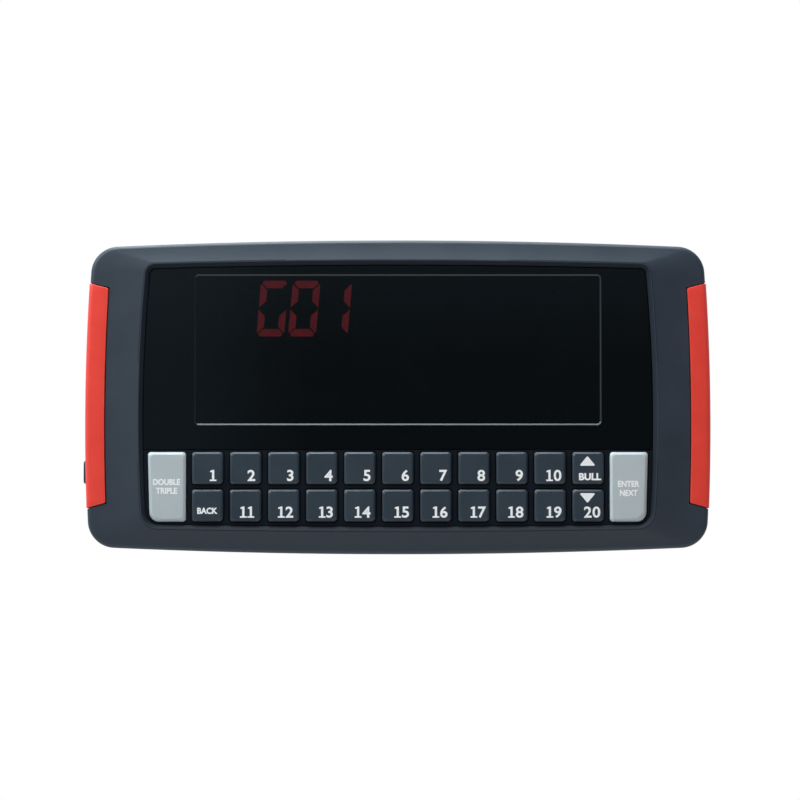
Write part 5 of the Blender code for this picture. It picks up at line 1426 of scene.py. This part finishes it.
def row_tree():
    """Repeats the mesh it is given along X, and gives every copy one material."""
    tree = modifier_tree(
        "row_of_digits",
        [
            ("Count", "NodeSocketInt", 3),
            ("Pitch", "NodeSocketFloat", 0.0144),
            ("Material", "NodeSocketMaterial", None),
        ],
    )
    inputs = add(tree, "NodeGroupInput").outputs
    reach = inputs["Count"]
    for operation, other in (("SUBTRACT", 1.0), ("MULTIPLY", inputs["Pitch"]), ("MULTIPLY", -0.5)):
        reach = add(tree, "ShaderNodeMath", {0: reach, 1: other}, operation=operation).outputs[0]
    start, offset = (
        add(tree, "ShaderNodeCombineXYZ", {"X": across}).outputs[0]
        for across in (reach, inputs["Pitch"])
    )
    values = {"Count": inputs["Count"], "Start Location": start, "Offset": offset}
    line = add(tree, "GeometryNodeMeshLine", values).outputs["Mesh"]
    return end_tree(tree, inputs, {"Points": line, "Instance": inputs["Geometry"]})


def scatter_tree():
    """Sets a screw on each point of the mesh it is given, each turned by chance about its own
    axis as screws end up, and gives them all one material."""
    tree = modifier_tree(
        "screws_on_points",
        [
            ("Screw", "NodeSocketObject", None),
            ("Most Turn", "NodeSocketFloat", math.pi),
            ("Seed", "NodeSocketInt", 0),
            ("Material", "NodeSocketMaterial", None),
        ],
    )
    inputs = add(tree, "NodeGroupInput").outputs
    screw = add(tree, "GeometryNodeObjectInfo", {"Object": inputs["Screw"]}).outputs["Geometry"]
    values = {2: 0.0, 3: inputs["Most Turn"], "Seed": inputs["Seed"]}
    chance = add(tree, "FunctionNodeRandomValue", values, data_type="FLOAT").outputs[1]
    turn = add(tree, "ShaderNodeCombineXYZ", {"Y": chance}).outputs[0]
    rotation = add(tree, "FunctionNodeEulerToRotation", {"Euler": turn}).outputs[0]
    sockets = {"Points": inputs["Geometry"], "Instance": screw, "Rotation": rotation}
    return end_tree(tree, inputs, sockets)


# Display

def segment_corners(number):
    """Corners of a segment, from the top bar clockwise, the middle bar last. A bar and an upright
    meet in a mitre that runs a little below the digit's corner, and the corner is cut off."""
    [window] = sizes("window")
    w, h, s = window.digit_width / 2, window.digit_height / 2, window.stroke
    gap = window.segment_gap / math.sqrt(2)
    cut, fall = window.digit_corner, window.digit_corner / 3
    start, bar = fall + 2 * gap, s * 1.12
    top = [
        (-w + cut, h), (w - cut, h), (w - cut / 2, h - fall - cut / 2), (w - bar + fall, h - bar),
        (-w + bar - fall, h - bar), (-w + cut / 2, h - fall - cut / 2),
    ]
    side = [
        (w, h - start - cut / 2), (w, gap), (w - s, gap + s), (w - s, h - start - s),
        (w - cut / 4, h - start - cut / 4),
    ]
    middle = [
        (-w + 2 * gap, 0), (-w + 2 * gap + s / 2, -s / 2), (w - 2 * gap - s / 2, -s / 2),
        (w - 2 * gap, 0), (w - 2 * gap - s / 2, s / 2), (-w + 2 * gap + s / 2, s / 2),
    ]
    if number in (0, 3):
        corners = top
    elif number == 6:
        corners = middle
    else:
        corners = side
    flip_x = -1 if number in (4, 5) else 1
    flip_z = -1 if number in (2, 3, 4) else 1
    lean = math.tan(window.slant)
    return [(x * flip_x + z * flip_z * lean, z * flip_z) for x, z in corners]


def segments_mesh(shifts, front, back):
    """Segments as thin bars: shifts is a list of (X offset, segment numbers)."""
    lofts = []
    for shift, numbers in shifts:
        for number in numbers:
            lofts.append(prism(moved(segment_corners(number), shift, 0.0), front, back))
    return lofts_mesh("segments", lofts)


class SCORER_OT_display(bpy.types.Operator):
    """Makes the four digit modules, their unlit segments and the segments that show G01"""

    bl_idname = "scorer.display"
    bl_label = "Display"

    def execute(self, context):
        [window] = sizes("window")
        tree = row_tree()
        for side in ("upper_left", "upper_right", "lower_left", "lower_right"):
            node = f"digits_{side}"
            low, high = (Vector(corner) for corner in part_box(node))
            middle = centre_of(node)
            front = low.y + MODULE_SETBACK
            block = rectangle(middle.x, middle.z, high.x - low.x, high.z - low.z)
            body = rounded(block, [MODULE_CORNER] * 4, 3)
            face = rounded(grown(block, -MODULE_EDGE), [0.8 * MODULE_CORNER] * 4, 3)
            rings = [(face, front), *prism(body, front + MODULE_EDGE, high.y)]
            data = lofts_mesh("module", [rings])
            piece(f"digit_module_{side}", data, ["reflector"], [node])
            digit = segments_mesh([(0.0, range(7))], 0.0, BAR)
            values = {"Count": 3, "Pitch": window.digit_pitch, "Material": finish("unlit")}
            row = grown_from(tree, digit, values)
            place = (middle.x, low.y + BAR_SETBACK, middle.z + window.digit_rise)
            row.transform(Matrix.Translation(place))
            piece(f"segments_{side}", row, ["unlit"], smooth=None)
        middle, low = centre_of("digits_upper_left"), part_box("digits_upper_left")[0]
        shown = [
            (-window.digit_pitch, (0, 2, 3, 4, 5)),
            (0.0, (0, 1, 2, 3, 4, 5)),
            (window.digit_pitch, (1, 2)),
        ]
        data = segments_mesh(shown, 0.0, LIT_BAR)
        data.transform(Matrix.Translation((middle.x, low[1], middle.z + window.digit_rise)))
        piece("lit_segments", data, ["lit"], smooth=None)
        return {"FINISHED"}


# Screws, button, inlet and what is inside

def screw_mesh(head_radius, head_height, shank_radius, length):
    """A pan-head screw along Y with its underside at y = 0 and a cross recess in its head."""
    pitch, root = 0.9 * MM, shank_radius * 0.8
    dome = ((0.45, 1.0), (0.7, 0.92), (0.88, 0.75), (0.97, 0.5), (1.0, 0.25), (1.0, 0.0))
    sizes = [(head_radius * spread, head_height * rise) for spread, rise in dome]
    sizes.append((root, 0.0))
    for turn in range(int((length - shank_radius) / pitch)):
        start = -(turn + 0.2) * pitch
        sizes += [(root, start), (shank_radius, start - pitch / 3), (root, start - 2 * pitch / 3)]
    sizes.append((shank_radius * 0.35, -length))
    rings = [(circle(0, 0, radius, 32), y) for radius, y in sizes]
    wing, arm = head_radius * 0.62, head_radius * 0.2
    steps = []
    for turn in (Matrix.Rotation(0, 2), Matrix.Rotation(math.pi / 2, 2)):
        tip, mouth = (
            [tuple(turn @ Vector(corner)) for corner in rectangle(0, 0, *size)]
            for size in ((wing * 0.7, arm * 0.6), (2 * wing, arm))
        )
        steps.append(("DIFFERENCE", [[(tip, head_height * 0.25), (mouth, head_height * 1.1)]]))
    return carved([rings], steps)


class SCORER_OT_screws(bpy.types.Operator):
    """Makes the case screws and the board screws with cross recesses, turned by chance"""

    bl_idname = "scorer.screws"
    bl_label = "Screws"

    def execute(self, context):
        tree = scatter_tree()
        # Nodes, radius and height of the head, radius of the shank
        kinds = (
            ("case_screw", 2.8 * MM, 2.1 * MM, 1.3 * MM),
            ("display_board_screw", 2.2 * MM, 1.5 * MM, 0.9 * MM),
            ("key_board_screw", 2.2 * MM, 1.5 * MM, 0.9 * MM),
        )
        for seed, (prefix, head_radius, head_height, shank_radius) in enumerate(kinds, 3):
            nodes = numbered(prefix)
            low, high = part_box(nodes[0])
            reach = high[1] - low[1] - head_height
            screw = temporary(screw_mesh(head_radius, head_height, shank_radius, reach))
            places = []
            for node in nodes:
                middle = centre_of(node)
                places.append((middle.x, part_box(node)[1][1] - head_height, middle.z))
            points = bpy.data.meshes.new("places")
            points.from_pydata(places, [], [])
            values = {"Screw": screw, "Most Turn": math.pi, "Seed": seed}
            data = grown_from(tree, points, {**values, "Material": finish("zinc")})
            bpy.data.objects.remove(screw)
            piece(f"{prefix}s", data, ["zinc"], nodes)
        return {"FINISHED"}


class SCORER_OT_fittings(bpy.types.Operator):
    """Makes the power button, the inlet with its contact, and dresses what is inside the case"""

    bl_idname = "scorer.fittings"
    bl_label = "Button, inlet and inside"

    def execute(self, context):
        low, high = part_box("power_button")
        middle = centre_of("power_button")
        face = high[0] - BUTTON_STEM_LENGTH - FLANGE_THICK
        crown, foot, rings = low[0] - face, button_outline(), []
        for drop in (0.0, 0.12, 0.35, 0.7, 1.2, 1.7, BUTTON_DOME / MM):
            rise = 1 - drop * MM / BUTTON_DOME
            narrow, short = math.sqrt(1 - 0.6 * rise**2), math.sqrt(1 - 0.3 * rise**2)
            rings.append(([(x * narrow, z * short) for x, z in foot], crown + drop * MM))
        rings.append((foot, 0.0))
        rings += prism(button_outline(BUTTON_FLANGE), 0.0, FLANGE_THICK)
        stem = rounded(rectangle(0, 0, BUTTON_STEM, BUTTON_STEM), [0.4 * MM] * 4)
        rings += prism(stem, FLANGE_THICK, FLANGE_THICK + BUTTON_STEM_LENGTH)
        cap = lofts_mesh("button", [rings])
        cap.transform(Matrix.Translation((face, middle.y, middle.z)) @ TO_LEFT)
        node = "power_button"
        piece("power_button_cap", cap, ["button"], [node], node)

        low, high = (Vector(corner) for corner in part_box("dc_inlet"))
        middle = centre_of("dc_inlet")
        size = high - low
        shell = rounded(rectangle(0, 0, size.x, size.y), [INLET_CORNER] * 4, 11)
        start, turn = -3 * math.pi / 4, 2 * math.pi
        bore = arc((0, 0), INLET_BORE, start, start + turn, len(shell))[:-1]
        rings = prism(shell, INLET_LENGTH, 0.0) + prism(bore, 0.0, INLET_DEPTH)
        body = lofts_mesh("inlet", [rings])
        tip = (circle(0, 0, PIN_TIP, 24), PIN_START)
        shaft = prism(circle(0, 0, PIN, 24), PIN_START + PIN_TAPER, PIN_END)
        contact = lofts_mesh("pin", [[tip, *shaft]])
        for data in (body, contact):
            data.transform(Matrix.Translation((middle.x, middle.y, low.z)) @ TO_BOTTOM)
        piece("inlet_shell", body, ["nylon"], ["dc_inlet"])
        piece("inlet_pin", contact, ["nickel"])

        inside = {
            "key_mat": "silicone",
            "key_board": "board",
            "display_board": "board",
            "controller_chip": "chip",
            "link_cable": "ribbon",
            "speaker_frame": "pressed_steel",
            "speaker_cone": "cone",
            "power_switch": "nylon",
        }
        for node, look in inside.items():
            refinish(node, look)
        return {"FINISHED"}


# Studio

def area_light(name, place, aim, size, power, shade=(1.0, 1.0, 1.0)):
    light = bpy.data.lights.new(name, "AREA")
    light.shape = "RECTANGLE"
    light.size, light.size_y = size
    light.energy = power
    light.color = shade
    item = bpy.data.objects.new(name, light)
    item.location = place
    item.rotation_euler = (Vector(aim) - Vector(place)).to_track_quat("-Z", "Y").to_euler()
    bpy.context.scene.collection.objects.link(item)
    return item


def studio_world():
    """White for the camera. To everything else it is a tent, bright behind the box and dim in
    front of it, where paler panels to the left and one above show in the lens. Reflections of
    it are bluer than its light."""
    world = bpy.data.worlds.new("white_tent")
    world.use_nodes = True
    tree = world.node_tree
    tree.nodes.clear()
    direction = add(tree, "ShaderNodeTexCoord").outputs["Generated"]
    axes = add(tree, "ShaderNodeSeparateXYZ", {"Vector": direction}).outputs
    levels = []
    for axis, *limits in (
        ("Y", -0.15, 0.1, 0.1, 0.8),  # dim in front and bright behind
        ("X", -0.06, -0.02, 0.13, 0.0),  # the left half
        ("Z", 0.06, 0.09, 0.0, 0.1),  # above
        ("X", -0.8, -0.6, 0.25, 0.0),  # far to the left
    ):
        values = {"Value": axes[axis], **ranged(*limits)}
        level = add(tree, "ShaderNodeMapRange", values, interpolation_type="SMOOTHSTEP")
        levels.append(level.outputs["Result"])
    tent = levels[0]
    for level in levels[1:]:
        tent = add(tree, "ShaderNodeMath", {0: tent, 1: level}, operation="ADD").outputs[0]
    path = add(tree, "ShaderNodeLightPath").outputs
    seen = path["Is Camera Ray"]
    strength = add(tree, "ShaderNodeMix", {"Factor": seen, "A": tent, "B": 1.0}, data_type="FLOAT")
    shade = (0.79, 0.84, 0.88, 1.0)
    for share, other in (
        (path["Is Glossy Ray"], (0.6, 0.87, 1.08, 1.0)),
        (seen, (1.0, 1.0, 1.0, 1.0)),
    ):
        blend = {"Factor": share, 6: shade, 7: other}
        shade = add(tree, "ShaderNodeMix", blend, data_type="RGBA").outputs[2]
    values = {"Color": shade, "Strength": strength.outputs[0]}
    background = add(tree, "ShaderNodeBackground", values).outputs[0]
    add(tree, "ShaderNodeOutputWorld", {"Surface": background})
    return world


class SCORER_OT_studio(bpy.types.Operator):
    """Sets up the pale floor, the soft lights, the white surroundings and the camera"""

    bl_idname = "scorer.studio"
    bl_label = "Studio"

    def execute(self, context):
        scene = context.scene
        [studio] = sizes("studio")
        mesh = bmesh.new()
        bmesh.ops.create_grid(mesh, x_segments=1, y_segments=1, size=2.5)
        data = plain_mesh("floor", mesh)
        data.transform(Matrix.Translation((0, 0, -studio.floor_drop)))
        data.materials.append(finish("paper"))
        floor = bpy.data.objects.new("studio_floor", data)
        scene.collection.objects.link(floor)

        aim = (0, -28 * MM, 0)
        cool, warm = (0.86, 1.0, 1.03), (1.0, 0.6, 0.5)
        area_light("key_light", (-0.85, -0.42, 0.72), aim, (0.7, 0.7), studio.key_power)
        area_light("top_light", (-0.1, -0.05, 0.8), aim, (0.9, 0.45), studio.top_power, cool)
        fill = area_light("fill_light", (1.0, -0.9, 0.2), aim, (0.8, 0.8), studio.fill_power, warm)
        fill.visible_glossy = False
        scene.world = studio_world()
        scene.view_settings.view_transform = "Standard"

        camera = bpy.data.cameras.new("camera")
        camera.sensor_width = 36.0
        camera.lens = camera.sensor_width * studio.distance / studio.view_width
        item = bpy.data.objects.new("camera", camera)
        target = Vector((studio.aim_x, aim[1], studio.aim_z))
        lean = studio.elevation
        item.location = target + Vector((0, -math.cos(lean), math.sin(lean))) * studio.distance
        item.rotation_euler = (math.pi / 2 - lean, 0, 0)
        scene.collection.objects.link(item)
        scene.camera = item
        return {"FINISHED"}


OPERATORS = (
    SCORER_OT_case,
    SCORER_OT_rear,
    SCORER_OT_grips,
    SCORER_OT_panels,
    SCORER_OT_keys,
    SCORER_OT_print,
    SCORER_OT_display,
    SCORER_OT_screws,
    SCORER_OT_fittings,
    SCORER_OT_studio,
)


class SCORER_PT_pieces(bpy.types.Panel):
    """Lists the operators that dress the scorer, in the order they are meant to run"""

    bl_label = "Dart scorer"
    bl_space_type = "VIEW_3D"
    bl_region_type = "UI"
    bl_category = "Scorer"

    def draw(self, context):
        for operator in OPERATORS:
            self.layout.operator(operator.bl_idname)
        for name in GROUPS:
            group = getattr(context.scene, name)
            box = self.layout.box()
            box.label(text=name.removeprefix("scorer_").capitalize())
            for field in group.__annotations__:
                box.prop(group, field)


CLASSES = (*GROUPS.values(), *OPERATORS, SCORER_PT_pieces)


def register():
    for made in CLASSES:
        bpy.utils.register_class(made)
    for name, group in GROUPS.items():
        setattr(bpy.types.Scene, name, PointerProperty(type=group))


def unregister():
    for name in GROUPS:
        delattr(bpy.types.Scene, name)
    for made in reversed(CLASSES):
        bpy.utils.unregister_class(made)


def main():
    register()
    for operator in OPERATORS:
        group, _, name = operator.bl_idname.partition(".")
        getattr(getattr(bpy.ops, group), name)()


if __name__ == "__main__":
    main()
